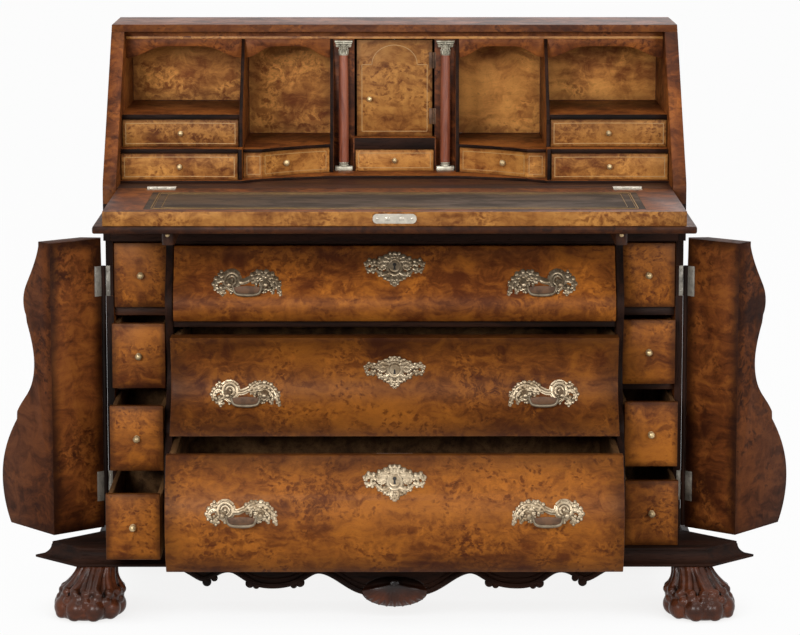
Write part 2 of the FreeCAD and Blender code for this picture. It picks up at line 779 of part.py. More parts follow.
def column_shafts():
    low = plinth_z + foot_block
    high = column_top - cap_high
    feet = [Vector(sign * column_x, column_y, low) for sign in (-1, 1)]
    return [Part.makeCylinder(column_r, high - low, foot) for foot in feet]


def concave_drawer(x0, x1, y, z0, high):
    """Outer drawer: front hollowed by an arc, with a knob."""
    a = Vector(x0, y, z0)
    b = Vector(x1, y, z0)
    mid_x = (x0 + x1) / 2.0
    front_edge = Part.Arc(a, Vector(mid_x, y + hollow, z0), b).toShape()
    back = y + hollow + thin_front
    c = Vector(x1, back, z0)
    d = Vector(x0, back, z0)
    face = Part.Face(Part.Wire([front_edge, line(b, c), line(c, d), line(d, a)]))
    front = face.extrude(Vector(0, 0, high))
    top = z0 + high - thin_drop
    walls = drawer_box(x0, x1, back, inside_back - drawer_rear, z0, top, thin_wall, thin_floor)
    return [front] + walls + [knob(mid_x, y + hollow, z0 + high / 2.0, knob_small).cut(front)]


def inner_drawer(sign):
    """Serpentine drawer beside the columns."""
    front = band(serpentine(sign, 0.0, inner_z), serpentine(sign, thin_front, inner_z), inner_high)
    out_x = upright_out - slide_gap
    in_x = upright_in + upright_thick + slide_gap
    rear = inside_back - drawer_rear
    top = inner_z + inner_high - thin_drop
    outer_x = on_side(sign, out_x - thin_wall, out_x)
    inner_x = on_side(sign, in_x, in_x + thin_wall)
    between = on_side(sign, in_x + thin_wall, out_x - thin_wall)
    outer_wall = box(*outer_x, outer_front_y + thin_front, rear, inner_z, top)
    inner_wall = box(*inner_x, inner_end_y + thin_front, rear, inner_z, top)
    back = box(*between, rear - thin_wall, rear, inner_z, top)
    end_y = rear - thin_wall
    end = line(Vector(sign * out_x, end_y, inner_z), Vector(sign * in_x, end_y, inner_z))
    floor = band(serpentine(sign, thin_front, inner_z), [end], thin_floor)
    floor = floor.cut(outer_wall).cut(inner_wall)
    knob_x = sign * (out_x + in_x) / 2.0
    knob_z = inner_z + inner_high / 2.0
    pull_knob = knob(knob_x, front_y(front, knob_x, knob_z) + knob_sink, knob_z, knob_small).cut(front)
    return [front, outer_wall, inner_wall, back, floor, pull_knob]


def centre_drawer():
    x1 = pilaster_in - slide_gap
    y = centre_front_y
    front = box(-x1, x1, y, y + thin_front, centre_z, centre_z + centre_high)
    walls = drawer_box(-x1, x1, y + thin_front, inside_back - drawer_rear, centre_z,
                       centre_z + centre_high - thin_drop, thin_wall, thin_floor)
    return [front] + walls + [knob(0.0, y, centre_z + centre_high / 2.0, knob_small)]


prospect_z = centre_top + centre_rail + seat_gap
prospect_axis_x = (door_half + pilaster_in) / 2.0
prospect_axis_y = centre_y - prospect_axis_out
prospect_top = interior_top - centre_head


def prospect_door():
    return box(-door_half, door_half, centre_y, centre_y + prospect_thick, prospect_z, prospect_top)


def prospect_hinges():
    high = prospect_top - prospect_z
    sets = []
    offset = prospect_axis_out - prospect_leaf_thick
    for share in prospect_hinge_shares:
        z0 = prospect_z + share * high - prospect_hinge_long / 2.0
        fixed, moving = butt_hinge(prospect_hinge_long, prospect_barrel_r, prospect_leaf_thick,
                                   prospect_leaf_fixed, prospect_leaf_moving, offset, offset)
        turn = turned(fixed, (0, 0, 0), (0, 0, 1), 180.0)
        turn = turned(turn, (0, 0, 0), (1, 0, 0), 180.0)
        turn = moved(turn, 0.0, 0.0, prospect_hinge_long)
        at = Vector(prospect_axis_x, prospect_axis_y, z0)
        sets.append((moved(turn, *at), moved(moving, *at)))
    return sets


# Long drawers and their handles
def long_drawer(name):
    """Closed in place: bombe front, two sides, back and bottom."""
    x = -long_half
    points = swell_points(name, x)
    back = -(min(reach for share, reach in swell[name]) - front_least)
    top = Vector(x, back, points[0].z)
    low = Vector(x, back, points[-1].z)
    wire = Part.Wire([curve(points), line(points[-1], low), line(low, top), line(top, points[0])])
    front = Part.Face(wire).extrude(Vector(2.0 * long_half, 0, 0))
    walls = drawer_box(-long_half, long_half, back, inside_back - drawer_rear, front_z[name],
                       front_z[name] + front_high[name] - side_drop, drawer_wall, drawer_floor)
    return [front] + walls


def mount_plate(discs, x, z, front):
    """Plate of round lobes that follows the curve of the front."""
    skin = moved(front, 0.0, -plate_thick).cut(front)
    far = -2.0 * swell_most
    lobes = [rod(size, (x + dx, far, z + dz), (x + dx, 0.0, z + dz)) for dx, dz, size in discs]
    return fused(lobes).common(skin)


# Lobes of the plates: across, up, radius
handle_lobes = [
    (0, 4, 15), (20, 2, 12), (-20, 2, 12), (40, 4, 15), (-40, 4, 15), (54, -2, 8), (-54, -2, 8),
]
keyhole_lobes = [
    (0, 0, 21), (0, 22, 10), (0, -20, 10), (24, 4, 13), (-24, 4, 13), (44, 0, 11), (-44, 0, 11),
]


def bail_pin_y(front, z):
    """y of a bail's pins: ahead of the front at their height, and clear of it where the loop hangs."""
    at_pin = front_y(front, 0.0, z) - bail_stand
    at_loop = front_y(front, 0.0, z - bail_drop) - plate_thick - bail_r - fit_gap
    return min(at_pin, at_loop)


def handle_fittings(name, front):
    """Two handle plates with their eyes, a keyhole plate and the lock behind the front."""
    top = front_z[name] + front_high[name]
    z = top - front_high[name] * handle_share[name]
    face_y = front_y(front, 0.0, z)
    eye_y = bail_pin_y(front, z)
    pieces = []
    for sign in (-1, 1):
        x = sign * handle_x
        plate = mount_plate(handle_lobes, x, z, front)
        pieces.append(plate)
        for side in (-1, 1):
            eye_x = x + side * bail_half
            stem = rod(stem_r, (eye_x, face_y + stem_sink, z), (eye_x, eye_y, z))
            eye = Part.makeSphere(eye_r, Vector(eye_x, eye_y, z))
            bore = rod(pin_r + pin_gap, (eye_x - 2.0 * eye_r, eye_y, z), (eye_x + 2.0 * eye_r, eye_y, z))
            pieces.append(fused([stem, eye]).cut(bore).cut(front).cut(plate))
    pieces.append(mount_plate(keyhole_lobes, 0.0, top - front_high[name] * keyhole_share[name], front))
    back = front.BoundBox.YMax
    lock_top = top - drawer_lock_drop
    pieces.append(box(-drawer_lock_half, drawer_lock_half, back, back + drawer_lock_thick,
                      lock_top - drawer_lock_high, lock_top))
    return pieces


def bail(name, sign, front):
    """Drop handle between its two eyes, hanging."""
    z = front_z[name] + front_high[name] * (1.0 - handle_share[name])
    x = sign * handle_x
    y = bail_pin_y(front, z)
    arm = bail_half - eye_r - leaf_gap - bail_r
    turn_r = bail_turn
    q = turn_r * (1.0 - math.sqrt(0.5))
    low = z - bail_drop
    edges = [
        line(Vector(x - arm, y, z), Vector(x - arm, y, low + turn_r)),
        Part.Arc(Vector(x - arm, y, low + turn_r), Vector(x - arm + q, y, low + q),
                 Vector(x - arm + turn_r, y, low)).toShape(),
        line(Vector(x - arm + turn_r, y, low), Vector(x + arm - turn_r, y, low)),
        Part.Arc(Vector(x + arm - turn_r, y, low), Vector(x + arm - q, y, low + q),
                 Vector(x + arm, y, low + turn_r)).toShape(),
        line(Vector(x + arm, y, low + turn_r), Vector(x + arm, y, z)),
    ]
    section = Part.Wire(Part.makeCircle(bail_r, Vector(x - arm, y, z), Vector(0, 0, 1)))
    loop = Part.Wire(edges).makePipeShell([section], True, False)
    pieces = [loop]
    for side in (-1, 1):
        pieces.append(Part.makeSphere(bail_r, Vector(x + side * arm, y, z)))
        pieces.append(rod(pin_r, (x + side * arm, y, z), (x + side * (bail_half + bail_r), y, z)))
    return fused(pieces)


# Side drawers
def side_drawer(k, out):
    """Right side drawer, k from the top, pulled out by a distance."""
    x0 = bay_in + slide_gap
    x1 = bay_out - slide_gap
    z0 = base_top + (3 - k) * bay_pitch + seat_gap
    y = side_recess
    front = box(x0, x1, y, y + small_front, z0, z0 + small_high)
    walls = drawer_box(x0, x1, y + small_front, inside_back - drawer_rear, z0, z0 + small_high - small_drop,
                       small_wall, small_floor)
    pieces = [front] + walls + [knob((x0 + x1) / 2.0, y, z0 + small_high / 2.0, knob_reach)]
    return [moved(piece, 0.0, -out, 0.0) for piece in pieces]


# Lopers
def loper(sign):
    """Slide with a rounded nose and a knob on it."""
    x0 = sign * loper_x - loper_wide / 2.0
    front = pivot_y - fall_reach - loper_out
    nose = loper_wide / 2.0
    bar = box(x0, x0 + loper_wide, front + nose, front + loper_long, loper_z, loper_top)
    tip = Part.makeCylinder(nose, loper_high, Vector(sign * loper_x, front + nose, loper_z))
    pull_knob = knob(sign * loper_x, front + knob_sink, loper_top - nose, knob_small)
    return [fused([bar, tip, pull_knob])]


def fall_hinges():
    """Two hinges let into the floor and the panel, barrel level with the writing surface."""
    sets = []
    for sign in (-1, 1):
        fixed, moving = butt_hinge(fall_hinge_long, fall_barrel_r, fall_leaf_thick,
                                   fall_leaf_wide, fall_leaf_wide, -fall_leaf_thick, -fall_leaf_thick)
        fixed = turned(fixed, (0, 0, 0), (0, 0, 1), 180.0)
        fixed = turned(fixed, (0, 0, 0), (1, 0, 0), 180.0)
        fixed = moved(fixed, 0.0, 0.0, fall_hinge_long)
        pair = []
        for piece in (fixed, moving):
            piece = turned(piece, (0, 0, 0), (1, 0, 0), 90.0)
            piece = turned(piece, (0, 0, 0), (0, 0, 1), 90.0)
            pair.append(piece)
        at = Vector(sign * fall_hinge_x - fall_hinge_long / 2.0, pivot_y, desk_z)
        sets.append(tuple(moved(piece, *at) for piece in pair))
    return sets


def build():
    os.makedirs("parts", exist_ok=True)
    save("base_platform", [base_platform()])
    feet = [
        (core_half + foot_front_out, foot_front_y, -45.0),
        (core_half - foot_rear_in, back_y - foot_rear_in_y, 45.0),
    ]
    rights = [paw_foot(*spec) for spec in feet]
    save("paw_feet", rights + [mirrored(foot) for foot in rights])
    save("apron", [apron()])
    save("apron_shell", [apron_shell()])
    save("top_board", [top_board()])
    save("back_panel", [box(-bay_out, bay_out, inside_back, back_y, base_top, waist_top),
                        box(-desk_half, desk_half, inside_back, back_y, waist_top, top_z)])
    save("dust_boards", dust_boards())
    shelves = bay_shelves()
    save("side_bay_shelves", shelves + [mirrored(shelf) for shelf in shelves])
    save("waist_rail", waist_rail())
    save("pigeonhole_case", pigeonhole_case())
    save("interior_valances", valances())
    save("column_shafts", column_shafts())
    save("column_mounts", column_mounts())

    right_part = partition()
    save("right_partition", [right_part])
    save("left_partition", [mirrored(right_part)])

    side = case_side()
    shut = door_shut()
    fixed_leaves = []
    door_leaves = []
    for z in door_hinge_z:
        fixed, moving = placed_door_hinge(z)
        fixed_leaves += [fixed, mirrored(fixed)]
        door_leaves.append(moving)
        half = door_hinge_long / 2.0
        side = side.cut(box(bay_out - past, core_half + past, 0.0, door_leaf_thick, z - half, z + half))
        for piece in (fixed, moving):
            shut = shut.cut(piece)
        shut = shut.cut(rod(door_barrel_r + leaf_gap, (door_axis_x, door_axis_y, z - half - leaf_gap),
                            (door_axis_x, door_axis_y, z + half + leaf_gap)))
    save("right_side", [side])
    save("left_side", [mirrored(side)])
    axis_at = (door_axis_x, door_axis_y, 0.0)
    swung = [turned(piece, axis_at, (0, 0, 1), door_open) for piece in [shut] + door_leaves]
    for side_name, hand in (("right", moved), ("left", mirrored)):
        save(side_name + "_cupboard_door", [hand(swung[0])])
        save(side_name + "_door_hinges", [hand(leaf) for leaf in swung[1:]])

    floor = desk_floor()
    panel, board, sheet, lock = fall_parts()
    fall_leaves = []
    for fixed, moving in fall_hinges():
        fixed_leaves.append(fixed)
        fall_leaves.append(moving)
        x0 = fixed.BoundBox.XMin - leaf_gap
        x1 = fixed.BoundBox.XMax + leaf_gap
        room = rod(fall_barrel_r + leaf_gap, (x0, pivot_y, desk_z), (x1, pivot_y, desk_z))
        floor = floor.cut(room).cut(fixed)
        panel = panel.cut(room).cut(moving)
    save("desk_floor", [floor])
    save("fall_panel", [panel])
    save("fall_board", [board])
    save("writing_leather", [sheet])
    save("fall_lock", [lock])
    save("fall_hinges", fall_leaves)

    leaves = []
    for fixed, moving in prospect_hinges():
        fixed_leaves.append(fixed)
        leaves.append(moving)
    save("prospect_door", [prospect_door()])
    knob_z = prospect_z + prospect_knob_share * (prospect_top - prospect_z)
    save("prospect_fittings", leaves + [knob(prospect_knob_in - door_half, centre_y, knob_z, knob_small)])
    save("fixed_hinge_leaves", fixed_leaves)

    for name in ("top", "middle", "bottom"):
        pieces = long_drawer(name)
        fittings = handle_fittings(name, pieces[0])
        save(name + "_drawer", [moved(piece, 0.0, -pull[name]) for piece in pieces])
        save(name + "_drawer_mounts", [moved(piece, 0.0, -pull[name]) for piece in fittings])
        for side_name, sign in (("left", -1), ("right", 1)):
            hung = bail(name, sign, pieces[0])
            save(name + "_" + side_name + "_bail", [moved(hung, 0.0, -pull[name])])

    for k in range(4):
        right = side_drawer(k, side_pull["right"][k])
        save("right_side_drawer_" + str(k + 1), right)
        left = side_drawer(k, side_pull["left"][k])
        save("left_side_drawer_" + str(k + 1), [mirrored(piece) for piece in left])

    save("left_loper", loper(-1))
    save("right_loper", loper(1))

    x0 = upright_out + upright_thick + slide_gap
    x1 = desk_half - slide_gap
    for side_name, sign in (("left", -1), ("right", 1)):
        ends = on_side(sign, x0, x1)
        save(side_name + "_lower_drawer", concave_drawer(*ends, lower_front_y, lower_z, lower_high))
        save(side_name + "_upper_drawer", concave_drawer(*ends, outer_front_y, upper_z, upper_high))
        save(side_name + "_inner_drawer", inner_drawer(sign))
    save("centre_drawer", centre_drawer())


build()
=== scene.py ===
import math

import bmesh
import bpy
import numpy as np
from bpy.props import FloatProperty, FloatVectorProperty, IntProperty, PointerProperty
from mathutils import Matrix, Vector


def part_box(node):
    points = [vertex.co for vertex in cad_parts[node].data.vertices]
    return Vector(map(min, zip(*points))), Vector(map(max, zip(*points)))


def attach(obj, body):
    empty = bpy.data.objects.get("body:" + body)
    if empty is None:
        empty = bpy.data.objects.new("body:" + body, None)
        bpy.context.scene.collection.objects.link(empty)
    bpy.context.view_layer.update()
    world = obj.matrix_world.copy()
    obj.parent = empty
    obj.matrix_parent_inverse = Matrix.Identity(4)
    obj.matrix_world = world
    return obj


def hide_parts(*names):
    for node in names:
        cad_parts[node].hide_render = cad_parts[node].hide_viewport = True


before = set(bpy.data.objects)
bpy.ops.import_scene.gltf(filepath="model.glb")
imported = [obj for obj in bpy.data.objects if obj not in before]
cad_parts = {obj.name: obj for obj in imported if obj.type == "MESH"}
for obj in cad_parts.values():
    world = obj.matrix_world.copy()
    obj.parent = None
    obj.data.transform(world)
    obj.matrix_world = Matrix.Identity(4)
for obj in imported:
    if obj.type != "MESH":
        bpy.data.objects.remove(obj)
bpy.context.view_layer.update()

bl_info = {
    "name": "Escritoire",
    "version": (1, 0, 0),
    "blender": (4, 5, 0),
    "location": "3D View > Sidebar > Escritoire",
    "description": "Bombe chest of drawers with side cupboards under a slant-front writing desk",
    "category": "Object",
}

MM = 0.001
# Side doors at rest: angle, hinge axis in plan, heights of the hinges, foot and top
DOOR_OPEN = math.radians(140.5)
DOOR_AXIS = (0.5355, -0.0005)
DOOR_HINGES = (0.205, 0.589)
DOOR_FOOT = 0.127
DOOR_TOP = 0.668
# Pin of the fall's hinges, in depth and height, and how far they stand to each side
FALL_PIN = (-0.0205, 0.763)
FALL_HINGE_X = 0.425
COLUMN_X = 0.096
# Desk drawers: side walls, bottoms, fronts, how far the sides stay under the front, knobs, stringing
DESK_WALL = 0.006
DESK_FLOOR = 0.004
DESK_FRONT = 0.012
DESK_DROP = 0.003
DESK_KNOB = 0.012
STRING_MARGIN = 0.0055
LONG_DRAWERS = ("top", "middle", "bottom")
HANDS = (("left", -1), ("right", 1))


def span(sign, first, second):
    """Two places on one side of the middle, the lower one first."""
    return sorted((sign * first, sign * second))


def lin(red, green, blue):
    """A colour as a screen shows it, 0 to 255, in the renderer's own scale."""
    def one(value):
        share = value / 255.0
        return share / 12.92 if share <= 0.04045 else ((share + 0.055) / 1.055) ** 2.4
    return (one(red), one(green), one(blue))


def colour_of(name, words, *screen):
    return FloatVectorProperty(name=name, description=words, subtype="COLOR", size=3, min=0.0, max=1.0,
                               default=lin(*screen))


def length_of(name, words, value):
    return FloatProperty(name=name, description=words, unit="LENGTH", min=0.0, default=value)


class EscritoireSizes(bpy.types.PropertyGroup):
    """Sizes of what is added to the bare solids"""

    soft_edge: length_of("Soft edge", "Rounding of the wooden edges", 0.0011)
    string_wide: length_of("Stringing width", "Width of the pale inlaid lines", 0.0012)
    string_proud: length_of("Stringing proud", "How far the inlaid lines stand out", 0.00018)
    relief: length_of("Relief", "Height of the cast scrolls over the front", 0.0017)
    carve_step: length_of("Carving step", "Fineness of the carved feet", 0.0019)
    knob_flare: FloatProperty(name="Knob flare", description="Collar of a knob against its neck",
                              default=1.9, min=1.0, max=3.0)
    lock_count: IntProperty(name="Hair locks", description="Locks round each ankle",
                            default=15, min=6, max=30)


class EscritoireColours(bpy.types.PropertyGroup):
    """Colours of the finishes"""

    burl_dark: colour_of("Burl, dark", "Dark figure of the drawer fronts", 78, 36, 13)
    burl_mid: colour_of("Burl, middle", "Main tone of the drawer fronts", 128, 72, 26)
    burl_light: colour_of("Burl, light", "Light figure of the drawer fronts", 158, 94, 32)
    gold_dark: colour_of("Golden burl, dark", "Dark figure of the desk's veneers", 98, 50, 20)
    gold_mid: colour_of("Golden burl, middle", "Main tone of the desk's veneers", 158, 102, 48)
    gold_light: colour_of("Golden burl, light", "Light figure of the desk's veneers", 190, 132, 66)
    red_dark: colour_of("Red burl, dark", "Dark figure of the doors", 40, 18, 9)
    red_mid: colour_of("Red burl, middle", "Main tone of the doors", 84, 43, 20)
    red_light: colour_of("Red burl, light", "Light figure of the doors", 120, 66, 30)
    panel_dark: colour_of("Panel burl, dark", "Dark figure of the door panels and valances", 58, 26, 10)
    panel_mid: colour_of("Panel burl, middle", "Main tone of the door panels and valances", 110, 58, 25)
    panel_light: colour_of("Panel burl, light", "Light figure of the door panels and valances", 142, 82, 34)
    plain_dark: colour_of("Walnut, dark", "Dark grain of the plain walnut", 30, 15, 9)
    plain_light: colour_of("Walnut, light", "Light grain of the plain walnut", 76, 42, 23)
    # The dark walnut colours are partly painted shade: they darken rails, edges and recesses that sit in
    # shadow
    shade_dark: colour_of("Dark walnut, dark", "Dark grain of the rails and base", 15, 9, 7)
    shade_light: colour_of("Dark walnut, light", "Light grain of the rails and base", 48, 27, 18)
    carved_dark: colour_of("Carving, hollows", "Hollows of the carved feet", 14, 8, 6)
    carved_light: colour_of("Carving, swells", "Rubbed swells of the carved feet", 104, 54, 31)
    lining_dark: colour_of("Drawer lining, dark", "Dark grain inside the drawers", 66, 43, 25)
    lining_light: colour_of("Drawer lining, light", "Light grain inside the drawers", 136, 98, 61)
    string_tone: colour_of("Stringing", "Pale inlaid lines", 186, 144, 88)
    brass_bright: colour_of("Brass, rubbed", "Rubbed relief of the mounts", 170, 153, 127)
    brass_dull: colour_of("Brass, dull", "Dull ground of the mounts", 112, 92, 66)
    drop_tone: colour_of("Drop bronze", "Dark plate inside the bails", 98, 66, 40)
    knob_tone: colour_of("Knobs", "Rubbed brass of the knobs", 218, 190, 140)
    steel_tone: colour_of("Steel", "Lock plate and hinges", 182, 174, 160)
    # the leather's light tone also paints its sheen, in patches
    leather_dark: colour_of("Leather, dark", "Worn hollows of the leather", 48, 36, 26)
    leather_light: colour_of("Leather, light", "Leather between them", 76, 60, 45)
    gilt: colour_of("Gilding", "Tooled lines on the leather", 160, 124, 66)
    floor_tone: colour_of("Floor", "Floor under the piece", 172, 170, 167)


def sizes():
    return bpy.context.scene.escritoire_sizes


def colours():
    return bpy.context.scene.escritoire_colours


def tone_of(key, share=1.0):
    """One of the colours, dimmed by a share."""
    return tuple(share * value for value in getattr(colours(), key))


# Finishes

def add(tree, kind, wires=None, **settings):
    """A node with its settings; each socket gets a value or a wire."""
    made = tree.nodes.new(kind)
    for key, value in settings.items():
        setattr(made, key, value)
    for key, value in (wires or {}).items():
        if isinstance(value, bpy.types.NodeSocket):
            tree.links.new(value, made.inputs[key])
        else:
            made.inputs[key].default_value = value
    return made


def calc(tree, operation, a, b=0.0, clamp=False):
    return add(tree, "ShaderNodeMath", {0: a, 1: b}, operation=operation, use_clamp=clamp).outputs[0]


def shift(tree, operation, a, b):
    key = "Scale" if operation == "SCALE" else 1
    return add(tree, "ShaderNodeVectorMath", {0: a, key: b}, operation=operation).outputs[0]


def remap(tree, value, low, high, start=0.0, end=1.0):
    wires = {"Value": value, "From Min": low, "From Max": high, "To Min": start, "To Max": end}
    return add(tree, "ShaderNodeMapRange", wires, interpolation_type="SMOOTHSTEP").outputs[0]


def blend(tree, share, first, second, mode="MIX"):
    made = add(tree, "ShaderNodeMix", {0: share, 6: first, 7: second}, data_type="RGBA", blend_type=mode)
    return made.outputs[2]


def cloud(tree, vector, scale, detail=3.0, rough=0.55, twist=0.0):
    wires = {"Vector": vector, "Scale": scale, "Detail": detail, "Roughness": rough, "Distortion": twist}
    return add(tree, "ShaderNodeTexNoise", wires)


def group_tree(name, inputs, outputs):
    tree = bpy.data.node_groups.new(name, "ShaderNodeTree")
    for label, kind in inputs:
        tree.interface.new_socket(name=label, in_out="INPUT", socket_type="NodeSocket" + kind)
    for label, kind in outputs:
        tree.interface.new_socket(name=label, in_out="OUTPUT", socket_type="NodeSocket" + kind)
    return tree, tree.nodes.new("NodeGroupInput").outputs, tree.nodes.new("NodeGroupOutput").inputs


def burl_figure():
    """Mottled burl with nests of small eyes and a few long ones, and how near a point is to the edge."""
    name = "burl figure"
    if name in bpy.data.node_groups:
        return bpy.data.node_groups[name]
    tree, given, out = group_tree(
        name,
        [("Vector", "Vector"), ("Seed", "Vector"), ("Scale", "Float"), ("Low", "Vector"), ("High", "Vector"),
         ("Border", "Float")],
        [("Tone", "Float"), ("Gold", "Float"), ("Eyes", "Float"), ("Edge", "Float"), ("Pores", "Float")])

    def warp(place, size, reach, start):
        """Moves a place about by a soft noise."""
        drift = shift(tree, "SUBTRACT", cloud(tree, start, size, 3.0).outputs["Color"], (0.5, 0.5, 0.5))
        return shift(tree, "ADD", place, shift(tree, "SCALE", drift, reach))

    def cells(stretch, size, channel, low, high):
        """Nearness to the middle of a cell, and whether the cell is one of those chosen."""
        spot = shift(tree, "MULTIPLY", ragged, stretch)
        made = add(tree, "ShaderNodeTexVoronoi", {"Vector": spot, "Scale": size})
        draw = add(tree, "ShaderNodeSeparateXYZ", {0: made.outputs["Color"]}).outputs[channel]
        return made.outputs["Distance"], remap(tree, draw, low, high)

    place = shift(tree, "SCALE", shift(tree, "ADD", given["Vector"], given["Seed"]), given["Scale"])
    warped = warp(place, 14.0, 0.05, place)
    ragged = warp(warped, 75.0, 0.022, place)
    broad = cloud(tree, shift(tree, "MULTIPLY", place, (1.0, 1.0, 1.2)), 4.2, 3.0, 0.5, 0.4).outputs[0]
    mottle = cloud(tree, warped, 30.0, 6.0, 0.66, 0.7).outputs[0]
    streak = cloud(tree, shift(tree, "MULTIPLY", warped, (1.0, 1.0, 6.0)), 15.0, 4.0, 0.6).outputs[0]
    tone = calc(tree, "ADD", calc(tree, "MULTIPLY", broad, 0.34), calc(tree, "MULTIPLY", mottle, 0.4))
    tone = calc(tree, "ADD", tone, calc(tree, "MULTIPLY", streak, 0.26))
    tree.links.new(remap(tree, tone, 0.37, 0.63), out["Tone"])
    nests = cloud(tree, shift(tree, "ADD", place, (7.3, 2.9, 5.1)), 8.0, 3.0, 0.55, 0.8).outputs[0]
    nest = remap(tree, nests, 0.45, 0.59)
    speckle = cloud(tree, ragged, 80.0, 4.0, 0.62).outputs[0]
    gold = calc(tree, "MULTIPLY", nest, remap(tree, speckle, 0.4, 0.62))
    tree.links.new(calc(tree, "MAXIMUM", gold, remap(tree, broad, 0.54, 0.74, 0.0, 0.55)), out["Gold"])
    near, chosen = cells((1.0, 1.0, 1.4), 78.0, 0, 0.25, 0.4)
    specks = calc(tree, "MULTIPLY", calc(tree, "MULTIPLY", remap(tree, near, 0.52, 0.16), chosen), nest)
    near, chosen = cells((1.0, 1.0, 2.8), 17.0, 1, 0.62, 0.68)
    knots = calc(tree, "MULTIPLY", remap(tree, near, 0.42, 0.16), chosen)
    knots = calc(tree, "MULTIPLY", knots, remap(tree, speckle, 0.36, 0.58, 0.25, 0.9))
    tree.links.new(calc(tree, "MAXIMUM", specks, knots, True), out["Eyes"])
    inward = shift(tree, "MINIMUM", shift(tree, "SUBTRACT", given["Vector"], given["Low"]),
                   shift(tree, "SUBTRACT", given["High"], given["Vector"]))
    parts = add(tree, "ShaderNodeSeparateXYZ", {0: inward}).outputs
    nearest = calc(tree, "MINIMUM", calc(tree, "MINIMUM", parts[0], parts[1]), parts[2])
    wander = calc(tree, "MULTIPLY", calc(tree, "SUBTRACT", broad, 0.5), given["Border"])
    share = calc(tree, "DIVIDE", calc(tree, "ADD", nearest, wander), given["Border"])
    tree.links.new(remap(tree, share, 1.0, 0.0), out["Edge"])
    pores = cloud(tree, shift(tree, "MULTIPLY", place, (0.5, 1.0, 1.4)), 420.0, 2.0).outputs[0]
    tree.links.new(remap(tree, pores, 0.56, 0.7), out["Pores"])
    return tree


def straight_grain():
    """Straight grain along X of the vector, with pores drawn out along it."""
    name = "straight grain"
    if name in bpy.data.node_groups:
        return bpy.data.node_groups[name]
    tree, given, out = group_tree(name, [("Vector", "Vector"), ("Scale", "Float")],
                                  [("Tone", "Float"), ("Pores", "Float")])
    place = shift(tree, "SCALE", given["Vector"], given["Scale"])
    sway = shift(tree, "SUBTRACT", cloud(tree, place, 1.3, 2.0).outputs["Color"], (0.5, 0.5, 0.5))
    swayed = shift(tree, "ADD", place, shift(tree, "SCALE", sway, 0.18))
    bands = cloud(tree, shift(tree, "MULTIPLY", swayed, (0.9, 13.0, 13.0)), 1.4, 5.0, 0.6, 0.3).outputs[0]
    broad = cloud(tree, shift(tree, "MULTIPLY", place, (0.6, 3.0, 3.0)), 1.0, 2.0).outputs[0]
    tone = calc(tree, "ADD", calc(tree, "MULTIPLY", bands, 0.66), calc(tree, "MULTIPLY", broad, 0.34))
    tree.links.new(remap(tree, tone, 0.34, 0.68), out["Tone"])
    pores = cloud(tree, shift(tree, "MULTIPLY", swayed, (6.0, 120.0, 120.0)), 1.6, 2.0).outputs[0]
    tree.links.new(remap(tree, pores, 0.56, 0.68), out["Pores"])
    return tree


def blank(name):
    """A new material with its shader, and the piece's own coordinates."""
    made = bpy.data.materials.new(name)
    made.use_nodes = True
    tree = made.node_tree
    tree.nodes.clear()
    shader = add(tree, "ShaderNodeBsdfPrincipled")
    add(tree, "ShaderNodeOutputMaterial", {"Surface": shader.outputs[0]})
    return made, tree, shader, add(tree, "ShaderNodeTexCoord").outputs["Object"]


def wire(tree, value, shader, socket):
    tree.links.new(value, shader.inputs[socket])


def bump(tree, shader, height, strength, distance):
    made = add(tree, "ShaderNodeBump", {"Strength": strength, "Distance": distance, "Height": height})
    wire(tree, made.outputs[0], shader, "Normal")


def ramp(tree, share, stops):
    made = add(tree, "ShaderNodeValToRGB", {0: share})
    elements = made.color_ramp.elements
    while len(elements) < len(stops):
        elements.new(0.5)
    for element, (at, tone) in zip(elements, stops):
        element.position = at
        element.color = (*tone, 1.0)
    return made.outputs[0]


def flat_box(low, high, thin):
    """A veneer's corners, with its thin direction left open."""
    low, high = Vector(low), Vector(high)
    for axis in thin:
        low[axis] -= 5.0
        high[axis] += 5.0
    return low, high


def made_once(make):
    """Makes a finish at the first call with its name, and hands out the same one later."""
    def kept(name, *settings, **named):
        return bpy.data.materials.get(name) or make(name, *settings, **named)
    return kept


@made_once
def burl(name, kind, seed, scale=1.0, low=(-5, -5, -5), high=(5, 5, 5), border=0.03, dusk=0.6, turn=None,
         shine=0.11, rough=0.46, lift=1.0):
    """Polished burl veneer. turn, an axis point and an angle, brings a swung piece back to its shut place."""
    made, tree, shader, place = blank(name)
    if turn:
        centre, angle = turn
        wires = {"Vector": place, "Center": (*centre, 0.0), "Angle": angle}
        place = add(tree, "ShaderNodeVectorRotate", wires, rotation_type="Z_AXIS").outputs[0]
    wires = {"Vector": place, "Seed": (0.83 * seed, 0.37 * seed, 0.59 * seed), "Scale": scale, "Low": low,
             "High": high, "Border": border}
    got = add(tree, "ShaderNodeGroup", wires, node_tree=burl_figure()).outputs
    dark, mid, light = [tone_of(kind + shade, lift) for shade in ("_dark", "_mid", "_light")]
    deep = (*(0.3 * value for value in dark), 1.0)
    bright = (*(1.35 * value for value in light), 1.0)
    eye = (dark[0], 0.78 * dark[1], 0.7 * dark[2], 1.0)
    tone = ramp(tree, got["Tone"], [(0.0, dark), (0.5, mid), (1.0, light)])
    layers = (("Gold", 0.6, bright), ("Eyes", 0.7, eye), ("Edge", dusk, deep), ("Pores", 0.2, deep))
    for key, share, over in layers:
        tone = blend(tree, calc(tree, "MULTIPLY", got[key], share), tone, over)
    wire(tree, tone, shader, "Base Color")
    wire(tree, remap(tree, got["Tone"], 0.0, 1.0, rough + 0.06, rough - 0.04), shader, "Roughness")
    height = calc(tree, "SUBTRACT", calc(tree, "MULTIPLY", got["Tone"], 0.4), got["Pores"])
    bump(tree, shader, height, 0.16, 0.0004)
    shader.inputs["Specular IOR Level"].default_value = shine
    return made


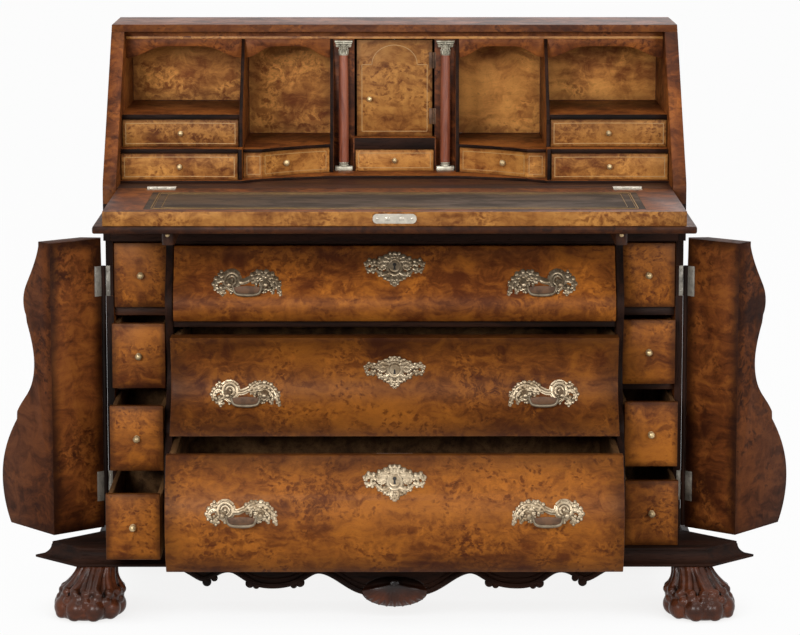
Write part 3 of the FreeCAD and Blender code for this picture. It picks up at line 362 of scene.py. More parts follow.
@made_once
def walnut(name, dark, light, along="X", scale=3.0, rough=0.5, shine=0.2):
    """Straight-grained wood, grain along the named axis."""
    made, tree, shader, place = blank(name)
    spin = {"X": (0, 0, 0), "Y": (0, 0, math.pi / 2), "Z": (0, math.pi / 2, 0)}[along]
    place = add(tree, "ShaderNodeMapping", {"Vector": place, "Rotation": spin}).outputs[0]
    wires = {"Vector": place, "Scale": scale}
    grain = add(tree, "ShaderNodeGroup", wires, node_tree=straight_grain()).outputs
    tone = ramp(tree, grain["Tone"], [(0.0, dark), (1.0, light)])
    deep = (*(0.4 * value for value in dark), 1.0)
    wire(tree, blend(tree, calc(tree, "MULTIPLY", grain["Pores"], 0.5), tone, deep), shader, "Base Color")
    matt = calc(tree, "ADD", calc(tree, "MULTIPLY", grain["Pores"], 0.2), rough)
    wire(tree, matt, shader, "Roughness")
    bump(tree, shader, calc(tree, "SUBTRACT", grain["Tone"], grain["Pores"]), 0.2, 0.0005)
    shader.inputs["Specular IOR Level"].default_value = shine
    return made


def plain_walnut(along="X"):
    return walnut("plain walnut " + along, tone_of("plain_dark"), tone_of("plain_light"), along)


# Near-black walnut of the rails, base, apron, rod and the front edges of sides, partitions and shelves:
# partly their own dark wood, partly painted shade for parts in shadow, such as the waist rail under the fall
def dark_shaded_walnut(along="X"):
    dark, light = tone_of("shade_dark"), tone_of("shade_light")
    return walnut("dark walnut " + along, dark, light, along, 3.0, 0.55, 0.07)


def drawer_lining():
    return walnut("drawer lining", tone_of("lining_dark"), tone_of("lining_light"), "Y", 2.4, 0.6, 0.1)


def hollow_shade(tree, reach, low, high):
    """1 on swells, 0 in hollows."""
    made = add(tree, "ShaderNodeAmbientOcclusion", {"Distance": reach}, samples=8, only_local=True)
    return remap(tree, made.outputs["AO"], low, high)


def background_rays(tree):
    """1 for the rays that meet the white background, 0 for those that light the piece."""
    path = add(tree, "ShaderNodeLightPath").outputs
    seen = calc(tree, "MAXIMUM", path["Is Camera Ray"], path["Is Transmission Ray"])
    return calc(tree, "MAXIMUM", seen, path["Is Glossy Ray"])


@made_once
def carved_walnut(name, shadow_heights=None):
    """Carved wood, rubbed on its swells; given two heights, its colour darkens upwards between them, a
    painted shadow of what hangs over it.
    """
    made, tree, shader, place = blank(name)
    grain = add(tree, "ShaderNodeGroup", {"Vector": place, "Scale": 5.0}, node_tree=straight_grain()).outputs
    swell = hollow_shade(tree, 0.014, 0.3, 0.95)
    worn = remap(tree, cloud(tree, place, 22.0, 3.0).outputs[0], 0.3, 0.7, 0.35, 1.0)
    fibre = calc(tree, "ADD", calc(tree, "MULTIPLY", grain["Tone"], 0.5), 0.5)
    share = calc(tree, "MULTIPLY", calc(tree, "MULTIPLY", swell, worn), fibre)
    # painted shadow: the colour darkens upwards between the two given heights
    if shadow_heights:
        height = add(tree, "ShaderNodeSeparateXYZ", {"Vector": place}).outputs["Z"]
        share = calc(tree, "MULTIPLY", share, remap(tree, height, *shadow_heights, 1.0, 0.04))
    tone = ramp(tree, share, [(0.0, tone_of("carved_dark")), (1.0, tone_of("carved_light"))])
    wire(tree, tone, shader, "Base Color")
    wire(tree, remap(tree, swell, 0.0, 1.0, 0.5, 0.3), shader, "Roughness")
    bump(tree, shader, cloud(tree, place, 120.0, 3.0).outputs[0], 0.1, 0.0005)
    shader.inputs["Specular IOR Level"].default_value = 0.24
    return made


@made_once
def metal(name, bright, dull, reach=0.004, rough=0.36, grit=420.0, lustre=0.7):
    """Aged cast metal: rubbed where it stands out, dull in its hollows."""
    made, tree, shader, place = blank(name)
    blotch = cloud(tree, place, 60.0, 4.0, 0.6).outputs[0]
    swell = hollow_shade(tree, reach, 0.35, 0.9)
    share = calc(tree, "MULTIPLY", swell, remap(tree, blotch, 0.3, 0.62, 0.55, 1.0))
    grime = tuple(0.3 * value for value in dull)
    wire(tree, ramp(tree, share, [(0.0, grime), (0.45, dull), (1.0, bright)]), shader, "Base Color")
    wire(tree, remap(tree, share, 0.0, 1.0, rough + 0.25, rough), shader, "Roughness")
    wire(tree, remap(tree, share, 0.0, 0.6, 0.2, lustre), shader, "Metallic")
    bump(tree, shader, cloud(tree, place, grit, 3.0).outputs[0], 0.3, 0.0003)
    return made


def mount_brass():
    return metal("mount brass", tone_of("brass_bright"), tone_of("brass_dull"))


def knob_brass():
    return metal("knob brass", tone_of("knob_tone"), tone_of("brass_dull"), 0.005, 0.3, 240.0, 0.45)


def bail_brass():
    worn, dull = tone_of("brass_bright", 0.55), tone_of("brass_dull", 0.7)
    return metal("bail brass", worn, dull, 0.006, 0.48, 300.0, 0.4)


def drop_bronze():
    return metal("drop bronze", tone_of("drop_tone"), tone_of("drop_tone", 0.35), 0.006, 0.6, 300.0, 0.2)


def hinge_iron():
    worn, dull = tone_of("steel_tone", 0.55), tone_of("steel_tone", 0.25)
    return metal("hinge iron", worn, dull, 0.003, 0.42, 350.0, 0.4)


def hinge_steel():
    return metal("hinge steel", tone_of("steel_tone"), tone_of("steel_tone", 0.55), 0.003, 0.34, 350.0, 0.5)


def capital_brass():
    return metal("capital brass", lin(196, 190, 170), lin(104, 98, 80), 0.003, 0.4, 420.0, 0.4)


@made_once
def stringing(name):
    made, tree, shader, place = blank(name)
    share = cloud(tree, place, 60.0, 3.0).outputs[0]
    tone = ramp(tree, share, [(0.25, tone_of("string_tone", 0.62)), (0.7, tone_of("string_tone"))])
    wire(tree, tone, shader, "Base Color")
    wire(tree, remap(tree, share, 0.2, 0.8, 0.42, 0.3), shader, "Roughness")
    return made


@made_once
def desk_leather(name):
    made, tree, shader, place = blank(name)
    cells = add(tree, "ShaderNodeTexVoronoi", {"Vector": place, "Scale": 620.0}, feature="DISTANCE_TO_EDGE")
    crease = remap(tree, cells.outputs["Distance"], 0.0, 0.16)
    # lighter patches in the leather's colour: partly worn leather, partly painted sheen
    wear_and_sheen = cloud(tree, shift(tree, "MULTIPLY", place, (1.0, 2.2, 1.0)), 7.0, 5.0, 0.6, 0.6).outputs[0]
    share = calc(tree, "MULTIPLY", remap(tree, wear_and_sheen, 0.38, 0.66), remap(tree, crease, 0.0, 1.0, 0.72, 1.0))
    tone = ramp(tree, share, [(0.0, tone_of("leather_dark")), (1.0, tone_of("leather_light"))])
    wire(tree, tone, shader, "Base Color")
    wire(tree, remap(tree, wear_and_sheen, 0.34, 0.66, 0.72, 0.38), shader, "Roughness")
    bump(tree, shader, calc(tree, "ADD", crease, calc(tree, "MULTIPLY", wear_and_sheen, 0.8)), 0.35, 0.0004)
    shader.inputs["Specular IOR Level"].default_value = 0.08
    return made


def gilding():
    return metal("gilding", tone_of("gilt"), tone_of("gilt", 0.4), 0.002, 0.35, 900.0)


@made_once
# near-black finish of the keyhole: painted shade where the opening would be
def keyhole_shade_black(name):
    made, tree, shader, place = blank(name)
    share = cloud(tree, place, 300.0, 2.0).outputs[0]
    tone = ramp(tree, share, [(0.2, (0.004, 0.003, 0.002)), (0.8, (0.016, 0.012, 0.009))])
    wire(tree, tone, shader, "Base Color")
    wire(tree, remap(tree, share, 0.2, 0.8, 0.6, 0.85), shader, "Roughness")
    return made


# Shapes

def soften(bm, edges, width, segments=2):
    if width > 0.0 and edges:
        bmesh.ops.bevel(bm, geom=edges, offset=width, offset_type="OFFSET", segments=segments, profile=0.5,
                        affect="EDGES", material=-1, clamp_overlap=True)


def join(bm, own, index=None):
    """Adds a finished shape to a piece, in one finish if an index is given."""
    if index is not None:
        for face in own.faces:
            face.material_index = index
    mesh = bpy.data.meshes.new("shape")
    own.to_mesh(mesh)
    own.free()
    bm.from_mesh(mesh)
    bpy.data.meshes.remove(mesh)


def board(bm, low, high, soft=None, index=0):
    """Block between two corners, its edges rounded."""
    own = bmesh.new()
    low, high = Vector(low), Vector(high)
    bmesh.ops.create_cube(own, size=1.0, matrix=Matrix.LocRotScale((low + high) / 2.0, None, high - low))
    soften(own, own.edges[:], sizes().soft_edge if soft is None else soft)
    join(bm, own, index)


def prism(bm, outline, run, soft=0.0, index=0):
    """Flat outline drawn out along a run."""
    own = bmesh.new()
    face = own.faces.new([own.verts.new(point) for point in outline])
    drawn = bmesh.ops.extrude_face_region(own, geom=[face])["geom"]
    far = [item for item in drawn if isinstance(item, bmesh.types.BMVert)]
    bmesh.ops.translate(own, vec=Vector(run), verts=far)
    bmesh.ops.recalc_face_normals(own, faces=own.faces[:])
    soften(own, own.edges[:], soft)
    join(bm, own, index)


def cut(bm, at, facing):
    """Parts the faces along a plane and keeps both sides."""
    bmesh.ops.bisect_plane(bm, geom=bm.verts[:] + bm.edges[:] + bm.faces[:], dist=1e-6, plane_co=at,
                           plane_no=facing)


def turned(bm, profile, centre, axis=(0, 0, 1), steps=24, index=0):
    """Round piece from (radius, height) points, along an axis from a centre."""
    own = bmesh.new()
    axis = Vector(axis).normalized()
    out = axis.orthogonal().normalized()
    centre = Vector(centre)
    chain = [own.verts.new(centre + out * radius + axis * height) for radius, height in profile]
    links = [own.edges.new(pair) for pair in zip(chain, chain[1:])]
    bmesh.ops.spin(own, geom=chain + links, cent=centre, axis=axis, angle=2.0 * math.pi, steps=steps,
                   use_merge=True, use_duplicate=False)
    bmesh.ops.remove_doubles(own, verts=own.verts[:], dist=1e-6)
    bmesh.ops.recalc_face_normals(own, faces=own.faces[:])
    join(bm, own, index)


def lump(bm, centre, size, turn=None, rings=9, sectors=14, index=0):
    """Rounded lump, stretched to a size."""
    own = bmesh.new()
    place = Matrix.LocRotScale(Vector(centre), turn, Vector(size))
    bmesh.ops.create_uvsphere(own, u_segments=sectors, v_segments=rings, radius=1.0, matrix=place)
    join(bm, own, index)


def bars(bm, lines, sides=1, index=0):
    """Tapered round bars, each a smooth line of points with a radius at each point."""
    shape = bpy.data.curves.new("bars", "CURVE")
    shape.dimensions = "3D"
    shape.bevel_depth = 1.0
    shape.bevel_resolution = sides
    shape.resolution_u = 4
    shape.use_fill_caps = True
    for points, radii in lines:
        spline = shape.splines.new("NURBS")
        spline.points.add(len(points) - 1)
        for knot, at, radius in zip(spline.points, points, radii):
            knot.co = (*at, 1.0)
            knot.radius = radius
        spline.order_u = 3
        spline.use_endpoint_u = True
    holder = bpy.data.objects.new("bars", shape)
    mesh = bpy.data.meshes.new_from_object(holder)
    own = bmesh.new()
    own.from_mesh(mesh)
    bpy.data.objects.remove(holder)
    bpy.data.curves.remove(shape)
    bpy.data.meshes.remove(mesh)
    join(bm, own, index)


def carved(bm, step, rounds=2):
    """One skin over overlapping lumps, smoothed as a carver would leave it."""
    mesh = bpy.data.meshes.new("carving")
    bm.to_mesh(mesh)
    bm.free()
    holder = bpy.data.objects.new("carving", mesh)
    bpy.context.scene.collection.objects.link(holder)
    skin = holder.modifiers.new("skin", "REMESH")
    skin.mode = "VOXEL"
    skin.voxel_size = step
    shown = holder.evaluated_get(bpy.context.evaluated_depsgraph_get())
    result = bmesh.new()
    whole = bpy.data.meshes.new_from_object(shown)
    result.from_mesh(whole)
    bpy.data.objects.remove(holder)
    bpy.data.meshes.remove(mesh)
    bpy.data.meshes.remove(whole)
    for _ in range(rounds):
        bmesh.ops.smooth_vert(result, verts=result.verts[:], factor=0.5, use_axis_x=True, use_axis_y=True,
                              use_axis_z=True)
    return result


def part_shells(bm):
    """Parts the closed skins that touch each other at their edges."""
    seen = set()
    groups = []
    for first in bm.faces:
        if first in seen:
            continue
        seen.add(first)
        group = [first]
        for face in group:
            for edge in face.edges:
                if len(edge.link_faces) == 2:
                    fresh = [beside for beside in edge.link_faces if beside not in seen]
                    seen.update(fresh)
                    group += fresh
        groups.append(group)
    for group in groups[1:]:
        bmesh.ops.split(bm, geom=group)


def from_solid(node, soft=None, keep=None):
    """Copy of a solid's skin: merged, freed of needless edges and with soft edges."""
    bm = bmesh.new()
    bm.from_mesh(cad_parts[node].data)
    if keep:
        bmesh.ops.delete(bm, geom=[face for face in bm.faces if not keep(face)], context="FACES")
    bmesh.ops.remove_doubles(bm, verts=bm.verts[:], dist=2e-6)
    part_shells(bm)
    bmesh.ops.dissolve_limit(bm, angle_limit=math.radians(0.3), verts=bm.verts[:], edges=bm.edges[:])
    sharp = [edge for edge in bm.edges
             if len(edge.link_faces) == 2 and edge.calc_face_angle() > math.radians(32)]
    soften(bm, sharp, sizes().soft_edge if soft is None else soft)
    return bm


def piece(bm, name, body, finishes, stands_for=(), crease=38.0):
    """Turns a bmesh into a piece that rides on its body."""
    for face in bm.faces:
        face.smooth = True
    for edge in bm.edges:
        if len(edge.link_faces) == 2 and edge.calc_face_angle(0.0) > math.radians(crease):
            edge.smooth = False
    mesh = bpy.data.meshes.new(name)
    bm.to_mesh(mesh)
    bm.free()
    for finish in finishes:
        mesh.materials.append(finish)
    made = bpy.data.objects.new(name, mesh)
    bpy.context.scene.collection.objects.link(made)
    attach(made, body)
    if stands_for:
        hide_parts(*stands_for)
    return made


def clad(node, body, finishes, soft=None, choose=None, crease=38.0, name=None):
    """Piece in the shape of a solid; choose gives each face its finish."""
    bm = from_solid(node, soft)
    if choose:
        for face in bm.faces:
            face.material_index = choose(face)
    return piece(bm, name or node + "_wood", body, finishes, [node], crease)


def front_line(name):
    """Heights and depths along the front of a bombe drawer, read at its end."""
    points = np.array([corner.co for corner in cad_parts[name + "_drawer"].data.vertices])
    ahead = points[:, 1] < FRONT_BACKS[name] - 0.0005
    end = points[ahead & (np.abs(points[:, 0] - points[:, 0].max()) < 1e-5)]
    heights = np.unique(np.round(end[:, 2], 5))
    depths = [end[np.abs(end[:, 2] - height) < 1.5e-5][:, 1].min() for height in heights]
    return heights, np.array(depths)


def knob(bm, x, y, z, reach, index=0):
    """Turned knob on a small rosette, its axis towards the viewer."""
    neck = 0.2 * reach
    plate = neck * sizes().knob_flare
    head = 0.42 * reach
    profile = [(0.0, -0.02 * reach), (plate, -0.02 * reach), (plate, 0.03 * reach),
               (0.86 * plate, 0.08 * reach), (0.8 * plate, 0.07 * reach), (neck * 1.3, 0.12 * reach),
               (neck, 0.22 * reach), (neck * 0.95, 0.34 * reach)]
    for k in range(9):
        angle = math.radians(-52 + 142 * k / 8)
        profile.append((head * math.cos(angle), 0.66 * reach + 0.34 * reach * math.sin(angle)))
    profile[-1] = (0.0, reach)
    turned(bm, profile, (x, y, z), (0, -1, 0), 22, index)


def screw(bm, at, facing, radius=0.0022, index=0):
    """Domed screw head."""
    at, facing = Vector(at), Vector(facing).normalized()
    shares = ((0.0, 0.0), (1.0, 0.0), (0.92, 0.22), (0.6, 0.36), (0.0, 0.42))
    dome = [(across * radius, up * radius) for across, up in shares]
    turned(bm, dome, at - facing * 0.0001, facing, 12, index)


def string_frame(bm, x0, x1, z0, z1, y, index=0):
    """Rectangle of pale stringing on a flat front."""
    wide, proud = sizes().string_wide, sizes().string_proud
    for low, high in (((x0, z0), (x1, z0 + wide)), ((x0, z1 - wide), (x1, z1)),
                      ((x0, z0 + wide), (x0 + wide, z1 - wide)), ((x1 - wide, z0 + wide), (x1, z1 - wide))):
        board(bm, (low[0], y - proud, low[1]), (high[0], y + 0.0008, high[1]), 0.0, index)


def box_walls(bm, x0, x1, y0, y1, z0, z1, wall, floor, index):
    """Sides, back and bottom of a drawer."""
    soft = 0.0006
    board(bm, (x0, y0, z0), (x0 + wall, y1, z1), soft, index)
    board(bm, (x1 - wall, y0, z0), (x1, y1, z1), soft, index)
    board(bm, (x0 + wall, y1 - wall, z0), (x1 - wall, y1, z1), soft, index)
    board(bm, (x0 + wall, y0, z0), (x1 - wall, y1 - wall, z0 + floor), soft, index)


# Pieces

def make_stage():
    """Floor, white background, four soft lamps and the camera."""
    scene = bpy.context.scene
    scene.view_settings.view_transform = "Standard"
    bm = bmesh.new()
    bmesh.ops.create_circle(bm, cap_ends=True, segments=96, radius=45.0)
    mesh = bpy.data.meshes.new("floor")
    bm.to_mesh(mesh)
    bm.free()
    floor = bpy.data.objects.new("floor", mesh)
    scene.collection.objects.link(floor)
    made = bpy.data.materials.new("floor paper")
    made.use_nodes = True
    tree = made.node_tree
    tree.nodes.clear()
    seen = calc(tree, "MULTIPLY", background_rays(tree), 0.97)
    matt = add(tree, "ShaderNodeBsdfDiffuse", {"Color": (*tone_of("floor_tone"), 1.0)})
    near = add(tree, "ShaderNodeAmbientOcclusion", {"Distance": 0.13}, samples=8).outputs["AO"]
    shadow = ramp(tree, near, [(0.2, (0.84, 0.83, 0.82)), (0.8, (1.0, 1.0, 1.0))])
    glow = add(tree, "ShaderNodeEmission", {"Color": shadow, "Strength": 1.0})
    mixed = add(tree, "ShaderNodeMixShader", {0: seen, 1: matt.outputs[0], 2: glow.outputs[0]})
    add(tree, "ShaderNodeOutputMaterial", {"Surface": mixed.outputs[0]})
    mesh.materials.append(made)
    world = bpy.data.worlds.new("studio")
    scene.world = world
    world.use_nodes = True
    tree = world.node_tree
    tree.nodes.clear()
    level = remap(tree, background_rays(tree), 0.0, 1.0, 0.24, 1.0)
    sky = add(tree, "ShaderNodeBackground", {"Color": (1.0, 1.0, 1.0, 1.0), "Strength": level})
    add(tree, "ShaderNodeOutputWorld", {"Surface": sky.outputs[0]})
    for name, at, aim, wide, watts in (
        ("key lamp", (-1.7, -5.0, 2.1), (0.0, 0.0, 0.6), 1.5, 165.0),
        ("fill lamp", (2.4, -4.7, 1.9), (0.0, 0.0, 0.5), 1.5, 88.0),
        ("top lamp", (0.0, -0.9, 3.8), (0.0, 0.0, 0.8), 2.2, 40.0),
        ("rear lamp", (1.2, 3.2, 4.3), (0.0, 0.2, 0.5), 2.2, 120.0),
    ):
        lamp = bpy.data.lights.new(name, "AREA")
        lamp.shape = "SQUARE"
        lamp.size = wide
        lamp.energy = watts
        holder = bpy.data.objects.new(name, lamp)
        holder.location = at
        holder.rotation_euler = (Vector(aim) - Vector(at)).to_track_quat("-Z", "Y").to_euler()
        scene.collection.objects.link(holder)
    lens = bpy.data.cameras.new("camera")
    lens.lens = 152.63
    lens.sensor_width = 36.0
    lens.clip_end = 200.0
    eye = bpy.data.objects.new("camera", lens)
    eye.location = (0.0, -6.173, 1.5034)
    eye.rotation_euler = (math.radians(80.952), 0.0, math.radians(-0.0923))
    scene.collection.objects.link(eye)
    scene.camera = eye


def make_case():
    """Sides, top, partitions, rails and floors of the case, and the boarded back."""
    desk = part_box("waist_rail")[1].z
    for (hand, _), seed in zip(HANDS, (1.3, 2.9)):
        node = hand + "_side"
        finish = burl(node + " burl", "panel", seed, 0.9, *flat_box(*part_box(node), (0,)), 0.04, 0.5)
        bm = from_solid(node)
        cut(bm, (0, 0, desk), (0, 0, 1))
        for face in bm.faces:
            # the sides' front edges below the desk take the near-black walnut, partly painted shade
            below_desk = face.calc_center_median().z < desk
            face.material_index = 1 if below_desk and face.normal.y < -0.6 else 0
        piece(bm, node + "_wood", "carcass", [finish, dark_shaded_walnut("Z")], [node])
    veneer = flat_box(*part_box("top_board"), (2,))
    polished = burl("top burl", "red", 4.4, 0.9, *veneer, 0.05, 0.3, shine=0.13, rough=0.44)
    edge = burl("top edge burl", "panel", 4.9, 0.9, *veneer, 0.02, 0.3, lift=0.72)
    clad("top_board", "carcass", [polished, edge],
         choose=lambda face: int(face.normal.z <= 0.7))
    fine = 0.0007
    # partitions, dust boards and waist rail take the near-black walnut; on the waist rail, under the fall, it
    # is painted shade
    for node, soft, finish in (
        ("left_partition", None, dark_shaded_walnut("Z")), ("right_partition", None, dark_shaded_walnut("Z")),
        ("dust_boards", fine, dark_shaded_walnut()), ("waist_rail", fine, dark_shaded_walnut()),
        ("side_bay_shelves", fine, plain_walnut()), ("desk_floor", fine, plain_walnut()),
    ):
        clad(node, "carcass", [finish], soft)
    bm = bmesh.new()
    low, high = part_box("back_panel")
    count, groove, slack = 8, 0.0022, 0.0002
    step = (high.x - low.x) / count
    for k in range(count):
        x0 = low.x + step * k
        board(bm, (x0 + slack, low.y, low.z), (x0 + step - slack, high.y, high.z), groove)
    piece(bm, "back_boards", "carcass", [plain_walnut("Z")], ["back_panel"])


def mitred(plan, distance, back):
    """Plan moved outwards with its corners kept, but not behind the back."""
    moved = []
    for k, here in enumerate(plan):
        run_in = (here - plan[k - 1]).normalized()
        run_out = (plan[(k + 1) % len(plan)] - here).normalized()
        across = Vector((run_in.y, -run_in.x)) + Vector((run_out.y, -run_out.x))
        spot = here + across * (2.0 * distance / across.dot(across))
        moved.append(Vector((spot.x, min(spot.y, back))))
    return moved


def base_moulding():
    """Platform with canted ears, hollowed under its edge."""
    back = 0.405
    right = [(0.567, -0.16), (0.627, -0.1), (0.535, -0.008), (0.535, back)]
    plan = [Vector(point) for point in right] + [Vector((-x, y)) for x, y in reversed(right)]
    profile = [(-0.0014, 0.122), (-0.0003, 0.1215), (0.0, 0.1205), (0.0, 0.1175), (0.0008, 0.117)]
    for k in range(13):
        angle = math.radians(90.0 * k / 12)
        profile.append((0.001 + 0.02 * (1.0 - math.cos(angle)), 0.117 - 0.02 * math.sin(angle)))
    profile += [(0.0214, 0.0969), (0.022, 0.0962), (0.022, 0.0934), (0.0214, 0.0924), (0.0204, 0.092)]
    bm = bmesh.new()
    rings = []
    for reach, height in profile:
        corners = [bm.verts.new((*spot, height)) for spot in mitred(plan, reach, back)]
        rings.append([bm.edges.new((corners[k - 1], corners[k])) for k in range(len(corners))])
    for first, second in zip(rings, rings[1:]):
        bmesh.ops.bridge_loops(bm, edges=first + second)
    bmesh.ops.edgeloop_fill(bm, edges=rings[0])
    bmesh.ops.edgeloop_fill(bm, edges=rings[-1])
    bmesh.ops.recalc_face_normals(bm, faces=bm.faces[:])
    piece(bm, "base_moulding", "carcass", [dark_shaded_walnut()], ["base_platform"], 30.0)


def apron_carving():
    """Scalloped apron with a rolled edge and scroll ends; gives the height of its top."""
    bm = from_solid("apron", 0.0022)
    skin = np.array([corner.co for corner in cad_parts["apron"].data.vertices])
    front = skin[:, 1].min()
    top = skin[:, 2].max()
    edge = skin[(np.abs(skin[:, 1] - front) < 1e-5) & (skin[:, 2] < top - 0.0005)]
    edge = edge[np.unique(np.round(edge[:, 0], 4), return_index=True)[1]]
    edge = edge[np.argsort(edge[:, 0])][::3]
    lines = []
    for rise, thick in ((0.0046, 0.0056), (0.0165, 0.0027)):
        roll = [(x, front + 0.0006, z + rise) for x, _, z in edge]
        lines.append((roll, [thick] * len(roll)))
    bars(bm, lines, 2)
    large, small = 0.0085, 0.0065
    scroll_ends = ((0.3405, 0.063, large), (0.327, 0.07, small), (0.2625, 0.06, large), (0.251, 0.056, small),
                   (0.1715, 0.0615, large), (0.183, 0.057, small))
    for sign in (-1, 1):
        for x, z, size in scroll_ends:
            lump(bm, (sign * x, front + 0.001, z), (size, 0.8 * size, size))
    for corner in bm.verts:
        corner.co.z = min(corner.co.z, top - 0.0002)
    # the apron takes the near-black walnut, partly painted shade under the open bottom drawer
    piece(bm, "apron_carving", "carcass", [dark_shaded_walnut()], ["apron"])
    return top


def shell_carving(top):
    """Low oval shell with fanned ribs, under the middle of the apron."""
    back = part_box("apron_shell")[1].y
    across, bulge, tall = 0.0605, 0.0175, 0.0285
    centre = Vector((0.0, back + 0.004, 0.0455))
    crest = centre + Vector((0.0, 0.0, 0.6 * tall))
    proud = 0.0014
    bm = bmesh.new()
    lump(bm, centre, (across, bulge, tall), None, 20, 40)
    ribs = []
    for k in range(-6, 7):
        angle = math.radians(15.0 * k)
        rim = centre + Vector((across * math.sin(angle), 0.0, -tall * math.cos(angle)))
        rib = []
        for share in (0.1, 0.35, 0.6, 0.82, 0.97):
            spot = crest.lerp(rim, share)
            depth = 1.0 - (spot.x / across) ** 2 - ((spot.z - centre.z) / tall) ** 2
            rib.append((spot.x, centre.y - proud - bulge * math.sqrt(max(0.02, depth)), spot.z))
        ribs.append((rib, [0.0018, 0.003, 0.0042, 0.0046, 0.003]))
    bars(bm, ribs, 2)
    lump(bm, crest + Vector((0.0, -0.011, 0.0)), (0.013, 0.007, 0.009))
    bm = carved(bm, 0.0016, 2)
    for corner in bm.verts:
        corner.co.z = min(corner.co.z, top)
        corner.co.y = min(corner.co.y, back)
    # the shell's upper part is painted dark, the shadow of the bottom drawer that stands open over it
    drawer_shadowed = carved_walnut("shell walnut", (centre.z - 0.55 * tall, centre.z + 0.7 * tall))
    piece(bm, "shell_carving", "carcass", [drawer_shadowed], ["apron_shell"], 70.0)


def make_base():
    """Moulded platform, scalloped apron with its rolled edge, and the carved shell."""
    base_moulding()
    shell_carving(apron_carving())


def make_feet():
    """Four carved paws: hair locks round the ankle, a row of knuckles and a row of toes."""
    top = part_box("paw_feet")[1].z
    toe_out = 0.028

    def lean(z):
        """How far the paw has moved towards its toes at a height."""
        return toe_out * max(0.0, 1.0 - z / top) ** 0.8

    def around(angle, radius, z):
        return Vector((lean(z) + radius * math.cos(angle), radius * math.sin(angle), z))

    bell = [(0.0, 0.0), (0.047, 0.0), (0.0545, 0.005), (0.057, 0.013), (0.0555, 0.026), (0.05, 0.036),
            (0.047, 0.044), (0.044, 0.052), (0.039, 0.062), (0.034, 0.074), (0.032, top), (0.0, top)]
    whole = bmesh.new()
    turned(whole, bell, (0, 0, 0), (0, 0, 1), 40)
    for corner in whole.verts:
        corner.co.x += lean(corner.co.z)
    count = sizes().lock_count
    strand = ((0.0, 0.031, 0.094), (0.25, 0.0335, 0.08), (0.6, 0.0385, 0.067), (0.9, 0.0455, 0.055),
              (1.0, 0.0525, 0.0475))
    locks = []
    for k in range(count):
        angle = 2.0 * math.pi * (k + 0.5) / count
        sway = 0.1 * (1 if k % 2 else -1)
        line = [around(angle + sway * share, radius, z) for share, radius, z in strand]
        locks.append((line, [0.0052, 0.0058, 0.0068, 0.0082, 0.0086]))
    bars(whole, locks, 2)
    for k in range(count):
        angle = 2.0 * math.pi * (k + 0.5) / count
        lump(whole, around(angle, 0.0525, 0.0475), (0.0094, 0.0094, 0.009))
    toes = 9
    for k in range(toes):
        angle = 2.0 * math.pi * (k + 0.5) / toes
        tilt = Matrix.Rotation(angle, 3, "Z").to_quaternion()
        lump(whole, around(angle, 0.0505, 0.0195), (0.0165, 0.02, 0.0195), tilt, 12, 18)
        lump(whole, around(angle, 0.052, 0.0085), (0.0105, 0.0135, 0.0095), tilt)
        between = angle + math.pi / toes
        lump(whole, around(between, 0.0545, 0.0335), (0.0092, 0.0092, 0.0092))
        lump(whole, around(angle, 0.0515, 0.0385), (0.0085, 0.0115, 0.0085), tilt)
    whole = carved(whole, sizes().carve_step, 3)
    paw = bpy.data.meshes.new("paw")
    whole.to_mesh(paw)
    whole.free()
    bm = bmesh.new()
    front, rear = (0.538, -0.148), (0.462, 0.305)
    for sign, (x, y), facing in ((1, front, -45.0), (-1, front, -135.0), (1, rear, 45.0), (-1, rear, 135.0)):
        own = bmesh.new()
        own.from_mesh(paw)
        own.transform(Matrix.Translation((sign * x, y, 0.0)) @ Matrix.Rotation(math.radians(facing), 4, "Z"))
        join(bm, own)
    bpy.data.meshes.remove(paw)
    for corner in bm.verts:
        corner.co.z = min(max(corner.co.z, 0.0), top)
    piece(bm, "carved_paws", "carcass", [carved_walnut("carved walnut")], ["paw_feet"], 70.0)


# Depth of the fronts' flat backs, as the drawers stand open
FRONT_BACKS = {"top": -0.027, "middle": -0.149, "bottom": -0.31}


def make_long_drawers():
    """The three bombe drawers: burl fronts on plain boxes."""
    # the top front's lift of 1.25 is painted light: it brightens the front to make up for the fall's shadow
    # on it
    for seed, name, dusk, lift in ((3.7, "top", 0.45, 1.25), (8.2, "middle", 0.6, 0.76),
                                   (12.6, "bottom", 0.6, 0.92)):
        node = name + "_drawer"
        veneer = flat_box(*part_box(node), (1,))
        finish = burl(name + " front burl", "burl", seed, 1.0, *veneer, 0.05, dusk, lift=lift)
        back = FRONT_BACKS[name] + 1e-5
        clad(node, node, [finish, drawer_lining()], 0.0013,
             lambda face: int(face.calc_center_median().y >= back), 25.0)


def curl(cx, cz, start, end, turn_in, turn_out, count=10):
    """Points of a scroll that winds from one radius to another."""
    points = []
    for k in range(count + 1):
        share = k / count
        angle = math.radians(turn_in + (turn_out - turn_in) * share)
        radius = start + (end - start) * share
        points.append((cx + radius * math.cos(angle), cz + radius * math.sin(angle)))
    return points


def taper(points, thick, thin):
    """Radii that swell a little and then thin out along a scroll."""
    count = len(points) - 1
    return [thin + (thick - thin) * (1.0 - (k / count) ** 1.6) for k in range(count + 1)]


def leaf_lobes(points, radii):
    """Small rounded lobes on both sides of a scroll, as on a leaf."""
    lobes = []
    for k in range(1, len(points) - 1):
        (u0, w0), (u1, w1) = points[k - 1], points[k + 1]
        long = math.hypot(u1 - u0, w1 - w0)
        u, w = points[k]
        for side in (-1, 1):
            reach = 1.1 * side * radii[k] / long
            lobes.append((u - reach * (w1 - w0), w + reach * (u1 - u0), 1.28 * radii[k]))
    return lobes


